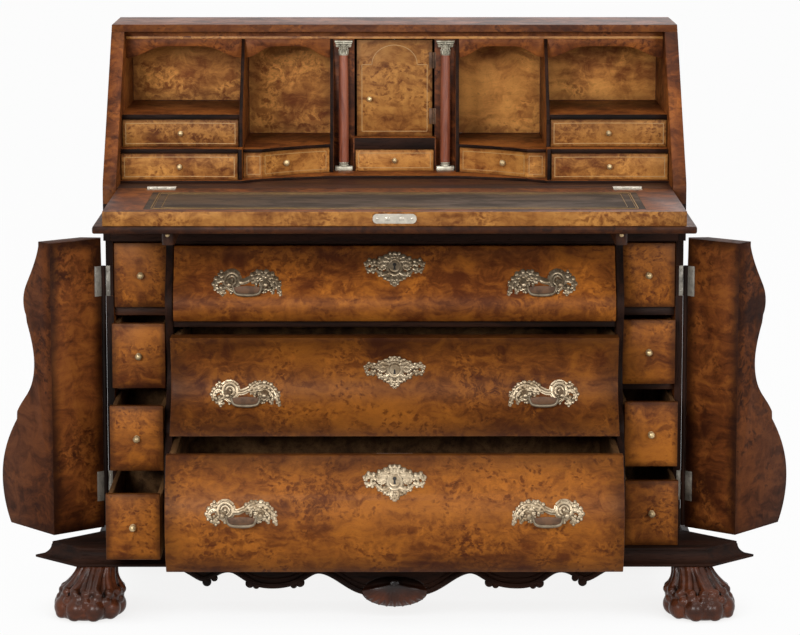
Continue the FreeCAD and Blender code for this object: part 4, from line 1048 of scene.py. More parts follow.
def handle_scrolls():
    """Openwork of a handle's plate, in millimetres across and up, with the ring on the left."""
    lines = []
    lobes = []
    for points, thick, thin, leafy in (
        (curl(-29, 6, 13.5, 13.5, 30, 390, 14), 3.2, 3.0, False),
        (curl(-29, 6, 7.6, 7.6, 0, 360, 12), 1.9, 1.9, False),
        ([(-41, 4), (-48, 9), (-55, 6), (-59, -1), (-57, -8), (-52, -8)], 3.6, 1.8, True),
        ([(-40, -5), (-46, -8), (-50, -13), (-45, -17), (-39, -14)], 3.2, 1.6, True),
        ([(-42, 13), (-48, 17), (-54, 13)], 2.8, 1.6, True),
        ([(-34, -7), (-28, -13), (-22, -14)], 2.8, 1.5, True),
        ([(-17, 4), (-9, 2), (-1, 5), (7, 9), (15, 11)], 3.0, 2.8, False),
        ([(4, 5), (10, 13), (18, 18), (27, 20)], 3.2, 2.0, True),
        ([(7, 4), (15, 4), (23, 9), (31, 9)], 3.0, 1.8, True),
        ([(12, 9), (22, 14), (33, 16), (43, 13), (50, 6), (55, -4), (58, -14), (61, -21)], 3.8, 1.6, True),
        (curl(28, 2, 9, 3.0, 150, -200, 12), 2.8, 1.8, True),
        ([(20, -6), (29, -10), (38, -7), (45, -11), (47, -18)], 3.2, 1.5, True),
        ([(38, 7), (45, 2), (50, -7), (46, -12)], 2.8, 1.5, True),
        ([(36, 0), (42, -4), (41, -10)], 2.4, 1.4, True),
        ([(18, 4), (14, 0), (17, -5)], 2.4, 1.4, False),
        ([(52, 2), (58, 1), (61, -5)], 2.2, 1.2, True),
    ):
        radii = taper(points, thick, thin)
        lines.append((points, radii))
        if leafy:
            lobes += leaf_lobes(points, radii)
    beads = [(-29, 6, 3.6), (28, 2, 3.0), (8, 13, 2.4), (24, 20, 2.6), (36, 21, 2.4), (47, 14, 2.2),
             (-36, 20, 2.4), (-24, 21, 2.2), (-60, 8, 2.0), (33, -14, 2.2)]
    return lines, lobes + beads


def keyhole_scrolls():
    """Openwork of a keyhole plate, the same on both sides."""
    ring = [(12.5 * math.cos(0.45 * k), 13.5 * math.sin(0.45 * k)) for k in range(15)]
    lines = [(ring, [2.8] * len(ring))]
    lobes = [(0, 23, 3.2), (0, -31, 2.6), (0, 17, 3.6), (0, -22, 3.2)]
    for sign in (-1, 1):
        for points, thick, thin, leafy in (
            (curl(23, 3, 8.5, 3, 160, -190, 12), 3.0, 1.9, True),
            ([(10, 12), (18, 19), (28, 16), (35, 9)], 3.4, 2.2, True),
            ([(10, -9), (19, -15), (28, -12), (34, -6)], 3.2, 2.0, True),
            ([(34, 3), (41, 9), (49, 12), (55, 6), (53, -1)], 3.3, 1.7, True),
            ([(36, -2), (43, -6), (51, -7), (56, -2)], 3.0, 1.5, True),
            ([(4, 15), (9, 22), (7, 28), (0, 31)], 3.2, 2.0, True),
            ([(5, -15), (8, -21), (4, -27), (0, -33)], 3.0, 1.4, True),
            ([(15, 17), (17, 24), (12, 27)], 2.4, 1.4, True),
            ([(14, -13), (16, -20), (22, -20)], 2.4, 1.4, True),
        ):
            points = [(0.93 * u, 0.72 * w if w > 0 else w) for u, w in points]
            radii = taper(points, thick, thin)
            lines.append(([(sign * u, w) for u, w in points], radii))
            if leafy:
                lobes += [(sign * u, w, size) for u, w, size in leaf_lobes(points, radii)]
        lobes += [(sign * u, w, size) for u, w, size in ((21, 2, 3.0), (53, 1, 2.0), (41, 1, 2.4))]
    return lines, lobes


def lay_scrolls(bm, design, x, z, sign, line):
    """Lays an openwork design on a bombe front, mirrored where the sign says so."""
    own = bmesh.new()
    lines, beads = design
    web, relief = (2.0, 0.3, 0.0012), (1.0, 0.85, 0.0)
    for widen, flatten, level in (web, relief):
        layer = bmesh.new()
        bars(layer, [([(u * MM, 0.0, w * MM) for u, w in points], [widen * radius * MM for radius in radii])
                     for points, radii in lines], 1)
        for corner in layer.verts:
            corner.co.y = flatten * corner.co.y + level
        join(own, layer)
    for u, w, size in beads:
        lump(own, (u * MM, -0.0004, w * MM), (size * MM, 0.6 * size * MM, size * MM), None, 7, 10)
    for corner in own.verts:
        height = z + corner.co.z
        lift = sizes().relief + 0.001 * math.cos(0.05 * corner.co.x / MM)
        depth = float(np.interp(height, *line)) - lift + corner.co.y
        corner.co = (x + sign * corner.co.x, depth, height)
    if sign < 0:
        bmesh.ops.reverse_faces(own, faces=own.faces[:])
    join(bm, own, 0)


def keyhole(bm, z, line):
    """Round boss in the middle of a keyhole plate; its hole is a near-black disc and slit laid on the boss,
    painted shade in place of an opening.
    """
    at = float(np.interp(z, *line))
    lean = float(np.interp(z - 0.01, *line) - np.interp(z + 0.01, *line)) / 0.02
    facing = Vector((0.0, -1.0, -lean)).normalized()
    boss = [(0.0, -0.004), (0.0118, -0.004), (0.0118, 0.0022), (0.0098, 0.003), (0.0072, 0.0026),
            (0.0, 0.0028)]
    turned(bm, boss, (0.0, at, z), facing, 28)
    hole = Vector((0.0, at, z)) + facing * 0.0027
    radius, deep = 0.0032, 0.0002
    disc = [(0.0, 0.0), (radius, 0.0), (radius, deep), (0.0, deep)]
    turned(bm, disc, hole + Vector((0, 0, 0.0025)), facing, 16, 1)
    up = facing.cross(Vector((1, 0, 0))).normalized()
    if up.z < 0.0:
        up = -up
    slit = ((-0.0012, 0.001), (0.0012, 0.001), (0.0021, -0.008), (-0.0021, -0.008))
    prism(bm, [hole + Vector((u, 0, 0)) + up * w for u, w in slit], facing * deep, 0.0, 1)


def bail(name, x, y, z):
    """Swinging loop on its two pins, with the plate that fills it."""
    loop = bmesh.new()
    path = [(-0.0345, 0.0), (-0.03, 0.0), (-0.0262, -0.0012), (-0.0252, -0.0075), (-0.0225, -0.0155),
            (-0.0135, -0.0182), (0.0, -0.0188)]
    path += [(-u, w) for u, w in reversed(path[:-1])]
    thick = [0.0014, 0.0015, 0.002, 0.0022, 0.0025, 0.0028, 0.003]
    thick += list(reversed(thick[:-1]))
    bars(loop, [([(x + u, y, z + w) for u, w in path], thick)], 3)
    for side in (-1, 1):
        lump(loop, (x + side * 0.0262, y, z - 0.002), (0.003, 0.003, 0.003))
    drop = [(-0.0245, -0.0042), (-0.0235, -0.012), (-0.0215, -0.0155), (-0.0135, -0.018), (0.0, -0.0186)]
    drop += [(-u, w) for u, w in reversed(drop[:-1])]
    drop += [(0.012, -0.0022), (0.0, -0.0014), (-0.012, -0.0022)]
    half = 0.0008
    prism(loop, [(x + u, y - half, z + w) for u, w in drop], (0, 2.0 * half, 0), 0.0004, 1)
    piece(loop, name + "_loop", name, [bail_brass(), drop_bronze()], [name], 60.0)


# Handles and keyholes: place across, half the reach between posts, stand of the pin, share down the front
HANDLE_X = 0.267
PIN_HALF = 0.033
PIN_STAND = 0.022
HANDLE_SHARE = {"top": 0.48, "middle": 0.605, "bottom": 0.455}
KEYHOLE_SHARE = {"top": 0.265, "middle": 0.355, "bottom": 0.19}


def make_mounts():
    """Cast openwork plates with their posts, keyhole plates, and the bails that swing."""
    post = [(0.0, -0.004), (0.0072, -0.004), (0.0072, 0.0025), (0.0046, 0.0045), (0.0029, 0.008),
            (0.0027, 0.0145), (0.0037, 0.0162), (0.0048, 0.0195), (0.005, 0.022), (0.0047, 0.0246),
            (0.0032, 0.0264), (0.0, 0.027)]
    for name in LONG_DRAWERS:
        body = name + "_drawer"
        line = front_line(name)
        low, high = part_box(body)
        height = high.z - low.z
        bm = bmesh.new()
        z = high.z - HANDLE_SHARE[name] * height
        face = float(np.interp(z, *line))
        for hand, sign in HANDS:
            x = sign * HANDLE_X
            lay_scrolls(bm, handle_scrolls(), x, z, -sign, line)
            for side in (-1, 1):
                turned(bm, post, (x + side * PIN_HALF, face, z), (0, -1, 0), 18)
            bail(f"{name}_{hand}_bail", x, face - PIN_STAND, z)
        z = high.z - KEYHOLE_SHARE[name] * height
        lay_scrolls(bm, keyhole_scrolls(), 0.0, z, 1, line)
        keyhole(bm, z, line)
        back = FRONT_BACKS[name]
        board(bm, (-0.032, back, high.z - 0.052), (0.032, back + 0.012, high.z - 0.002), 0.0008, 2)
        piece(bm, body + "_plates", body, [mount_brass(), keyhole_shade_black("keyhole"), hinge_steel()],
              [body + "_mounts"], 60.0)


def make_doors():
    """Thick bombe cupboard doors, each of three burls, and their hinge leaves with screws."""
    for hand, sign in HANDS:
        node = hand + "_cupboard_door"
        axis = Vector((sign * DOOR_AXIS[0], DOOR_AXIS[1], 0.0))
        shut = Matrix.Rotation(-sign * DOOR_OPEN, 3, "Z")
        swing = Matrix.Rotation(sign * DOOR_OPEN, 3, "Z")
        turn = (tuple(axis.xy), -sign * DOOR_OPEN)
        inner = span(sign, 0.4185, 0.5295)
        veneer = flat_box((inner[0], -1.0, DOOR_FOOT), (inner[1], 1.0, DOOR_TOP), (1,))
        panel = burl(hand + " door panel", "panel", 5.3 + sign, 0.9, *veneer, 0.026, 0.85, turn, lift=0.83)
        veneer = flat_box((-1.0, -0.171, DOOR_FOOT), (1.0, 0.0, DOOR_TOP), (0,))
        edge = burl(hand + " door edge", "red", 9.1 + sign, 0.8, *veneer, 0.02, 0.5, turn, 0.06, 0.55, 0.78)
        outer = burl(hand + " door burl", "burl", 14.2 + sign, 1.0, turn=turn)

        def side_of(face):
            normal = shut @ face.normal
            if normal.y > 0.8:
                return 1
            return 2 if sign * normal.x < -0.8 or abs(normal.z) > 0.9 else 0

        clad(node, hand + "_door", [outer, panel, edge], 0.0014, side_of, 25.0)
        node = hand + "_door_hinges"
        bm = from_solid(node, 0.0002)
        knuckle, narrow = 0.006, 0.46
        for corner in bm.verts:
            spot = shut @ (corner.co - axis)
            out = -sign * spot.x
            if out > knuckle:
                spot.x = -sign * (knuckle + narrow * (out - knuckle))
                corner.co = axis + swing @ spot
        for height in DOOR_HINGES:
            for u, w in ((0.01, 0.0), (0.0145, 0.019), (0.0145, -0.019)):
                spot = axis + swing @ Vector((-sign * u, -0.0008 - DOOR_AXIS[1], 0.0))
                screw(bm, (spot.x, spot.y, height + w), swing @ Vector((0, 1, 0)))
        piece(bm, hand + "_door_leaves", hand + "_door", [hinge_iron()], [node], 40.0)


def make_side_drawers():
    """Four small drawers behind each door."""
    wall, thick, floor, drop, reach = 0.008, 0.014, 0.006, 0.01, 0.015
    for hand, sign in HANDS:
        for k in range(1, 5):
            node = f"{hand}_side_drawer_{k}"
            low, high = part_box(node)
            face = low.y + reach
            bm = bmesh.new()
            board(bm, (low.x, face, low.z), (high.x, face + thick, high.z), 0.0013, 0)
            box_walls(bm, low.x, high.x, face + thick, high.y, low.z, high.z - drop, wall, floor, 1)
            knob(bm, (low.x + high.x) / 2.0, face, (low.z + high.z) / 2.0, reach, 2)
            veneer = flat_box(low, high, (1,))
            seed = 2.17 * k + 11.0 * (sign > 0)
            tone = burl(node + " burl", "burl", seed, 1.15, *veneer, 0.016, 0.7)
            finishes = [tone, drawer_lining(), knob_brass()]
            piece(bm, node + "_wood", node, finishes, [node], 40.0)


def fall_screws(bm, sign, side, index=0):
    """Screws of one of the fall's hinges, in the leaf before its pin or behind it."""
    pin_y, pin_z = FALL_PIN
    for u, w in ((-0.017, 0.02), (0.0, 0.012), (0.017, 0.02)):
        screw(bm, (sign * FALL_HINGE_X + u, pin_y + side * w, pin_z), (0, 0, 1), 0.0018, index)


def fall_leather():
    """Leather sheet, a little uneven, with three gilt lines tooled round it."""
    low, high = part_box("writing_leather")
    trim = 0.0004
    middle = ((low.x + high.x) / 2, (low.y + high.y) / 2, high.z - 0.0002)
    place = Matrix.LocRotScale(middle, None, (high.x - low.x - trim, high.y - low.y - trim, 1.0))
    bm = bmesh.new()
    bmesh.ops.create_grid(bm, x_segments=90, y_segments=26, size=0.5, matrix=place)
    for corner in bm.verts:
        x, y = corner.co.x, corner.co.y
        sway = math.sin(31 * x + 9 * math.sin(17 * y)) * math.sin(47 * y + 3 * x)
        inside = min(high.x - abs(x), y - low.y, high.y - y)
        corner.co.z += 0.00016 * sway * min(1.0, inside / 0.02)
    finish = desk_leather("desk leather")
    leather = piece(bm, "desk_leather", "fall", [finish], ["writing_leather"], 60.0)
    bm = bmesh.new()
    top, foot = high.z + 0.00012, high.z - 0.0006
    for inset, wide in ((0.012, 0.0014), (0.016, 0.0006), (0.03, 0.0008)):
        x0, x1, y0, y1 = low.x + inset, high.x - inset, low.y + inset, high.y - inset
        for a, b in (((x0, y0), (x1, y0 + wide)), ((x0, y1 - wide), (x1, y1)), ((x0, y0), (x0 + wide, y1)),
                     ((x1 - wide, y0), (x1, y1))):
            board(bm, (*a, foot), (*b, top), 0.0)
    piece(bm, "leather_tooling", "fall", [gilding()], ())


def fall_lock():
    """Round-ended lock plate in the fall's edge, its case behind it, two screws and two bolt ends."""
    low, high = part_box("fall_lock")
    proud, bolt, inset = 0.0003, 0.004, 0.0055
    bm, plate = bmesh.new(), bmesh.new()
    board(plate, (low.x, low.y - proud, low.z), (high.x, low.y + 0.002, high.z), 0.0)
    upright = [edge for edge in plate.edges if abs(edge.verts[0].co.y - edge.verts[1].co.y) > 0.001]
    soften(plate, upright, 0.0075, 6)
    rim = [edge for edge in plate.edges if len(edge.link_faces) == 2 and edge.calc_face_angle() > 1.0]
    soften(plate, rim, 0.0003, 1)
    join(bm, plate, 0)
    board(bm, (low.x + 0.008, low.y + 0.002, low.z), (high.x - 0.008, high.y, high.z - 0.004), 0.0005)
    for u in (-0.03, 0.03):
        screw(bm, (u, low.y - proud, (low.z + high.z) / 2), (0, -1, 0), 0.0024)
    for u in (-0.012, 0.012):
        corner = (u - bolt, low.y - 0.0009, low.z + inset)
        board(bm, corner, (u + bolt, low.y + 0.001, high.z - inset), 0.0005)
    piece(bm, "fall_lock_plate", "fall", [hinge_steel()], ["fall_lock"])


def make_fall():
    """Open fall: lip board, panel with its crossbanding, leather with tooled lines, lock and hinges."""
    veneer = flat_box(*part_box("fall_board"), (2,))
    finish = burl("fall lip burl", "red", 7.7, 1.0, *veneer, 0.03, 0.75, shine=0.1)
    clad("fall_board", "fall", [finish], 0.0032)
    veneer = flat_box(*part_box("fall_panel"), (2,))
    top = burl("fall top burl", "red", 10.4, 1.0, *veneer, 0.016, 0.5, shine=0.13, rough=0.46)
    veneer = flat_box(*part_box("fall_panel"), (1, 2))
    edge = burl("fall edge burl", "gold", 10.9, 1.0, *veneer, 0.03, 0.4, lift=0.78)
    clad("fall_panel", "fall", [top, edge], 0.0009, lambda face: int(face.normal.z <= 0.5))
    fall_leather()
    fall_lock()
    bm = from_solid("fall_hinges", 0.0002)
    for sign in (-1, 1):
        fall_screws(bm, sign, -1)
    piece(bm, "fall_hinge_leaves", "fall", [hinge_steel()], ["fall_hinges"])


def make_lopers():
    """Slides that carry the fall, with rounded noses and small knobs."""
    for hand, _ in HANDS:
        node = hand + "_loper"
        low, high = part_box(node)
        half = (high.x - low.x) / 2.0
        middle = (high.x + low.x) / 2.0
        front = low.y + 0.009
        outline = [(low.x, high.y, low.z)]
        for k in range(13):
            angle = math.pi * k / 12
            outline.append((middle - half * math.cos(angle), front + half - half * math.sin(angle), low.z))
        outline.append((high.x, high.y, low.z))
        bm = bmesh.new()
        prism(bm, outline, (0, 0, high.z - low.z), 0.0009)
        knob(bm, middle, front + 0.0002, high.z - half, 0.0092, 1)
        piece(bm, node + "_slide", node, [plain_walnut("Y"), knob_brass()], [node], 40.0)


def make_desk_case():
    """Uprights and shelves of the desk, veneered backs of the pigeonholes, valances and cornice."""
    def choose(face):
        if face.normal.y >= -0.35:
            return 0
        # front faces of the uprights and shelves take the near-black walnut, partly painted shade at the
        # shelf edges
        beside_column = 0.076 < abs(face.calc_center_median().x) < 0.118
        return 2 if beside_column else 1

    finishes = [burl("desk case burl", "panel", 15.5, 1.0), dark_shaded_walnut(), burl("pilaster burl", "red", 16.4)]
    clad("pigeonhole_case", "carcass", finishes, 0.0006, choose, name="pigeonhole_wood")
    # the bead in front of the valances takes a brighter golden burl, partly its own veneer and partly a
    # painted highlight along the moulding
    bead_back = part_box("interior_valances")[0].y + 0.0015
    finishes = [burl("valance burl", "panel", 18.8, 1.1), burl("cornice burl", "gold", 19.6, 1.1, shine=0.4)]
    clad("interior_valances", "carcass", finishes, 0.0009,
         lambda face: int(face.calc_center_median().y < bead_back), name="valance_wood")
    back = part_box("back_panel")[0].y
    top = 1.0155
    openings = (("outer", 0.289, 0.506, 0.8855, 21.0), ("inner", 0.122, 0.2815, 0.8215, 27.0))
    for hand, sign in HANDS:
        for place, x0, x1, foot, seed in openings:
            a, b = span(sign, x0, x1)
            bm = bmesh.new()
            board(bm, (a, back - 0.0008, foot), (b, back - 0.0001, top), 0.0)
            veneer = flat_box((a, back, foot), (b, back, top), (1,))
            name = f"pigeonhole_veneer_{hand}_{place}"
            # lift 1.55 is painted light: it brightens the backs deep in the pigeonholes as if lit from the
            # front
            finish = burl(name, "gold", seed + 3 * sign, 0.9, *veneer, 0.03, 0.4, lift=1.55)
            piece(bm, name, "carcass", [finish], ())


def capital(bm, x, y, low, high):
    """Cast capital: a bell with two ranks of leaves, two scrolls and a square slab on top."""
    foot, neck, count = high.z - 0.028, 0.0072, 8
    bell = [(0.0, 0.0), (0.0084, 0.0), (0.0089, 0.0006), (0.0084, 0.0014), (neck, 0.003), (neck, 0.009),
            (0.0078, 0.015), (0.0092, 0.0205), (0.0, 0.021)]
    turned(bm, bell, (x, y, foot), (0, 0, 1), 24)
    for half, inset, under, over in ((0.017, 0.0, 0.0034, 0.0), (0.0155, 0.0012, 0.0068, 0.0036)):
        board(bm, (x - half, low.y + inset, high.z - under), (x + half, high.y, high.z - over), 0.0007)
    lines = []
    ranks = ((0.002, 0.0085, 0.0022, 0.0016), (0.0075, 0.0095, 0.003, 0.0014))
    for rank, (start, rise, out, wide) in enumerate(ranks):
        bend = ((0.0002, 0.0), (0.0002, 0.4), (0.0006, 0.75), (out * 0.6, 0.98), (out, 0.9), (out, 0.78))
        for k in range(count):
            angle = 2.0 * math.pi * (k + 0.5 * rank) / count
            around = Vector((math.cos(angle), math.sin(angle), 0.0))
            line = []
            for lean, up in bend:
                spot = Vector((x, y, foot)) + around * (neck + lean) + Vector((0, 0, start + rise * up))
                line.append((spot.x, min(spot.y, high.y - 0.001), spot.z))
            lines.append((line, [wide * share for share in (1.0, 1.15, 1.0, 0.9, 0.7, 0.4)]))
    curve = [(3.5, 13), (6, 17), (9, 19.5)] + curl(11.6, 18.2, 2.6, 0.6, 100, -420, 12)
    for side in (-1, 1):
        scroll = [(x + side * u * MM, low.y + 0.0026, foot + w * MM) for u, w in curve]
        lines.append((scroll, [0.0011] * len(scroll)))
    bars(bm, lines, 1)
    lump(bm, (x, low.y + 0.0016, high.z - 0.0052), (0.003, 0.0016, 0.003))


def make_columns():
    """Turned shafts with cast capitals and bases."""
    low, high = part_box("column_shafts")
    cap_low, cap_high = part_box("column_mounts")
    y = (low.y + high.y) / 2.0
    long = high.z - low.z
    slim = [(0.0098 - 0.0011 * (k / 14) ** 2, long * (k / 14)) for k in range(15)]
    base = [(0.0, 0.0081), (0.0092, 0.0081), (0.0096, 0.0095), (0.0093, 0.011), (0.0082, 0.0117),
            (0.0082, 0.0127), (0.0091, 0.0136), (0.0091, 0.0152), (0.0086, 0.0159), (0.0, 0.016)]
    shaft, cast = bmesh.new(), bmesh.new()
    for sign in (-1, 1):
        x = sign * COLUMN_X
        turned(shaft, [(0.0, 0.0), *slim, (0.0, long)], (x, y, low.z), (0, 0, 1), 28)
        turned(cast, base, (x, y, cap_low.z), (0, 0, 1), 28)
        board(cast, (x - 0.017, cap_low.y, cap_low.z), (x + 0.017, cap_high.y, cap_low.z + 0.008), 0.0008)
        capital(cast, x, y, cap_low, cap_high)
    shine = walnut("column walnut", lin(96, 44, 30), lin(158, 92, 66), "Z", 4.0, 0.24, 0.45)
    piece(shaft, "column_shafts_turned", "carcass", [shine], ["column_shafts"], 50.0)
    piece(cast, "column_castings", "carcass", [capital_brass()], ["column_mounts"], 50.0)


def bent_front(bm, x0, x1, z0, z1, thick, line, cuts, soft, index):
    """Front whose face follows a line y(x), of one thickness, cut in equal parts or at a list of places."""
    own = bmesh.new()
    board(own, (x0, 0.0, z0), (x1, thick, z1), 0.0)
    for at in np.linspace(x0, x1, cuts + 1)[1:-1] if isinstance(cuts, int) else cuts:
        cut(own, (at, 0, 0), (1, 0, 0))
    for corner in own.verts:
        corner.co.y += line(corner.co.x)
    soften(own, [edge for edge in own.edges if edge.calc_face_angle() > math.radians(50)], soft)
    join(bm, own, index)


def bent_frame(bm, x0, x1, z0, z1, line, index):
    """Rectangle of stringing laid on a front that follows a line y(x)."""
    wide, proud = sizes().string_wide, sizes().string_proud
    def laid(x):
        return line(x) - proud
    cuts = max(1, int((x1 - x0) / 0.006))
    for low, high in ((z0, z0 + wide), (z1 - wide, z1)):
        bent_front(bm, x0, x1, low, high, 0.0009, laid, cuts, 0.0, index)
    for a, b in ((x0, x0 + wide), (x1 - wide, x1)):
        bent_front(bm, a, b, z0 + wide, z1 - wide, 0.0009, laid, 1, 0.0, index)


def outer_drawer(node, seed, lift, finishes):
    """Hollow-fronted drawer at an end of the desk."""
    low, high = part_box(node)
    hollow = 0.008
    deepest = low.y + DESK_KNOB
    mid, half = (low.x + high.x) / 2.0, (high.x - low.x) / 2.0

    def line(x):
        return deepest - hollow + hollow * (1.0 - ((x - mid) / half) ** 2)

    bm = bmesh.new()
    bent_front(bm, low.x, high.x, low.z, high.z, DESK_FRONT, line, 28, 0.0009, 0)
    start = deepest + DESK_FRONT - 0.0005
    box_walls(bm, low.x, high.x, start, high.y, low.z, high.z - DESK_DROP, DESK_WALL, DESK_FLOOR, 1)
    x0, x1 = low.x + STRING_MARGIN, high.x - STRING_MARGIN
    bent_frame(bm, x0, x1, low.z + STRING_MARGIN, high.z - STRING_MARGIN, line, 2)
    knob(bm, mid, deepest, (low.z + high.z) / 2.0, DESK_KNOB, 3)
    veneer = flat_box(low, high, (1,))
    tone = burl(node + " burl", "gold", seed + low.z * 9, 1.3, *veneer, 0.006, 0.6, lift=lift)
    piece(bm, node + "_wood", node, [tone, *finishes], [node], 30.0)


def inner_drawer(node, sign, finishes):
    """Serpentine drawer: straight at its outer end, then on an arc towards the middle of the desk."""
    low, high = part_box(node)
    outer, bend, inner = 0.2805, 0.2465, 0.123
    start, via, end = Vector((bend, low.y)), Vector((0.18475, 0.1515)), Vector((inner, 0.186))
    first, second = via - start, end - via
    centre = np.linalg.solve([[first.x, first.y], [second.x, second.y]],
                             [first.dot((start + via) / 2.0), second.dot((via + end) / 2.0)])
    radius = float(np.hypot(start.x - centre[0], start.y - centre[1]))
    bow = 1.0 if centre[1] < via.y else -1.0

    def line(x):
        x = abs(x)
        if x >= bend:
            return low.y
        return float(centre[1] + bow * math.sqrt(max(0.0, radius ** 2 - (x - centre[0]) ** 2)))

    bm = bmesh.new()
    cuts = sign * np.linspace(bend, inner, 31)[:-1]
    bent_front(bm, *span(sign, outer, inner), low.z, high.z, DESK_FRONT, line, cuts, 0.0, 0)
    top = high.z - DESK_DROP
    in_out, in_in = outer - DESK_WALL, inner + DESK_WALL
    for near, far, face in ((in_out, outer, low.y + DESK_FRONT), (inner, in_in, 0.198)):
        a, b = span(sign, near, far)
        board(bm, (a, face, low.z), (b, high.y, top), 0.0005, 1)
    a, b = span(sign, in_in, in_out)
    board(bm, (a, high.y - DESK_WALL, low.z), (b, high.y, top), 0.0005, 1)
    board(bm, (a, 0.197, low.z), (b, high.y - DESK_WALL, low.z + DESK_FLOOR), 0.0, 1)
    arc = [(sign * x, line(x) + DESK_FRONT, low.z) for x in np.linspace(bend, in_in, 12)]
    fill = [(sign * in_out, low.y + DESK_FRONT, low.z), *arc, (sign * in_out, 0.1975, low.z)]
    prism(bm, fill, (0, 0, DESK_FLOOR), 0.0, 1)
    for near, far in ((bend + 0.003, outer - STRING_MARGIN), (bend - 0.005, inner + STRING_MARGIN)):
        a, b = span(sign, near, far)
        bent_frame(bm, a, b, low.z + STRING_MARGIN, high.z - STRING_MARGIN, line, 2)
    mid = (outer + inner) / 2.0
    knob(bm, sign * mid, line(mid) + 0.0022, (low.z + high.z) / 2.0, DESK_KNOB + 0.002, 3)
    veneer = flat_box(low, high, (0, 1))
    tone = burl(node + " burl", "gold", 44.0 + 5.3 * sign, 1.3, *veneer, 0.006, 0.5, lift=0.95)
    piece(bm, node + "_wood", node, [tone, *finishes], [node], 12.0)


def centre_drawer(node, finishes):
    """Straight drawer under the small door."""
    low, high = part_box(node)
    face = low.y + DESK_KNOB
    bm = bmesh.new()
    board(bm, (low.x, face, low.z), (high.x, face + DESK_FRONT, high.z), 0.0009, 0)
    start = face + DESK_FRONT
    box_walls(bm, low.x, high.x, start, high.y, low.z, high.z - DESK_DROP, DESK_WALL, DESK_FLOOR, 1)
    x0, x1 = low.x + STRING_MARGIN, high.x - STRING_MARGIN
    string_frame(bm, x0, x1, low.z + STRING_MARGIN, high.z - STRING_MARGIN, face, 2)
    knob(bm, 0.0, face, (low.z + high.z) / 2.0, DESK_KNOB, 3)
    tone = burl(node + " burl", "gold", 52.7, 1.3, *flat_box(low, high, (1,)), 0.006, 0.5)
    piece(bm, node + "_wood", node, [tone, *finishes], [node], 30.0)


def make_desk_drawers():
    """Hollow-fronted outer drawers, serpentine inner ones and the straight one in the centre."""
    finishes = [drawer_lining(), stringing("stringing"), knob_brass()]
    for hand, sign in HANDS:
        for rank, lift in (("lower", 0.94), ("upper", 0.74)):
            outer_drawer(f"{hand}_{rank}_drawer", 31.0 + 4.1 * sign, lift, finishes)
        inner_drawer(hand + "_inner_drawer", sign, finishes)
    centre_drawer("centre_drawer", finishes)


def make_prospect():
    """Small cupboard door with arched stringing, its knob and hinges."""
    low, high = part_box("prospect_door")
    bm = bmesh.new()
    board(bm, low, high, 0.0009, 0)
    wide, proud = sizes().string_wide, sizes().string_proud
    inset, shoulder = 0.009, 0.046
    x1, z0 = high.x - inset, low.z + inset
    spring = high.z - shoulder
    arch = x1 - 0.019
    y0, y1 = low.y - proud, low.y + 0.0008
    board(bm, (-x1, y0, z0), (x1, y1, z0 + wide), 0.0, 1)
    for sign in (-1, 1):
        for across, foot in ((x1 - wide, z0), (arch, spring - wide)):
            a, b = span(sign, across, x1)
            board(bm, (a, y0, foot), (b, y1, spring), 0.0, 1)
    count = 26
    rise = high.z - inset - spring
    for k in range(count):
        ends = []
        for step in (k, k + 1):
            angle = math.pi * step / count
            for radius, tall in ((arch, rise), (arch - wide, rise - wide)):
                ends.append((radius * math.cos(angle), y0, spring + tall * math.sin(angle)))
        prism(bm, [ends[0], ends[2], ends[3], ends[1]], (0, y1 - y0, 0), 0.0, 1)
    veneer = flat_box(low, high, (1,))
    tone = burl("prospect burl", "gold", 57.3, 1.1, *veneer, 0.012, 0.6, lift=0.8)
    finishes = [tone, stringing("stringing")]
    piece(bm, "prospect_door_wood", "prospect_door", finishes, ["prospect_door"], 30.0)
    bm = from_solid("prospect_fittings", 0.0001, lambda face: face.calc_center_median().x > 0.0)
    knob(bm, -0.0473, low.y, low.z + 0.39 * (high.z - low.z), 0.012, 1)
    finishes = [drop_bronze(), knob_brass()]
    piece(bm, "prospect_fittings_cast", "prospect_door", finishes, ["prospect_fittings"], 40.0)


def make_fixed_hinges():
    """Hinge leaves that stay with the case, their screws, and a rod along each door's hinge line."""
    bm = from_solid("fixed_hinge_leaves", 0.0002)
    case_edge, narrow, desk_foot, prospect_half = 0.531, 0.55, 0.7, 0.2
    for corner in bm.verts:
        if corner.co.z < desk_foot and abs(corner.co.x) < case_edge:
            corner.co.x = math.copysign(case_edge - narrow * (case_edge - abs(corner.co.x)), corner.co.x)
    for face in bm.faces:
        middle = face.calc_center_median()
        if middle.z > desk_foot:
            face.material_index = 3 if abs(middle.x) < prospect_half else 2
    rod = [(0.0, 0.13), (0.004, 0.13), (0.0044, 0.1304), (0.0044, 0.6166), (0.004, 0.617), (0.0, 0.617)]
    for sign in (-1, 1):
        turned(bm, rod, (sign * DOOR_AXIS[0], DOOR_AXIS[1], 0.0), (0, 0, 1), 16, 1)
        for height in DOOR_HINGES:
            for w in (-0.019, 0.0, 0.019):
                screw(bm, (sign * 0.527, -0.00005, height + w), (0, -1, 0))
        fall_screws(bm, sign, 1, 2)
    finishes = [hinge_iron(), dark_shaded_walnut("Z"), hinge_steel(), drop_bronze()]
    piece(bm, "hinge_leaves_cast", "carcass", finishes, ["fixed_hinge_leaves"], 40.0)


class ESCRITOIRE_OT_stage(bpy.types.Operator):
    """Floor, lamps, world and camera"""

    bl_idname = "escritoire.stage"
    bl_label = "Stage"

    def execute(self, context):
        make_stage()
        return {"FINISHED"}


class ESCRITOIRE_OT_case(bpy.types.Operator):
    """Sides, top, partitions, rails and back of the case"""

    bl_idname = "escritoire.case"
    bl_label = "Case"

    def execute(self, context):
        make_case()
        return {"FINISHED"}


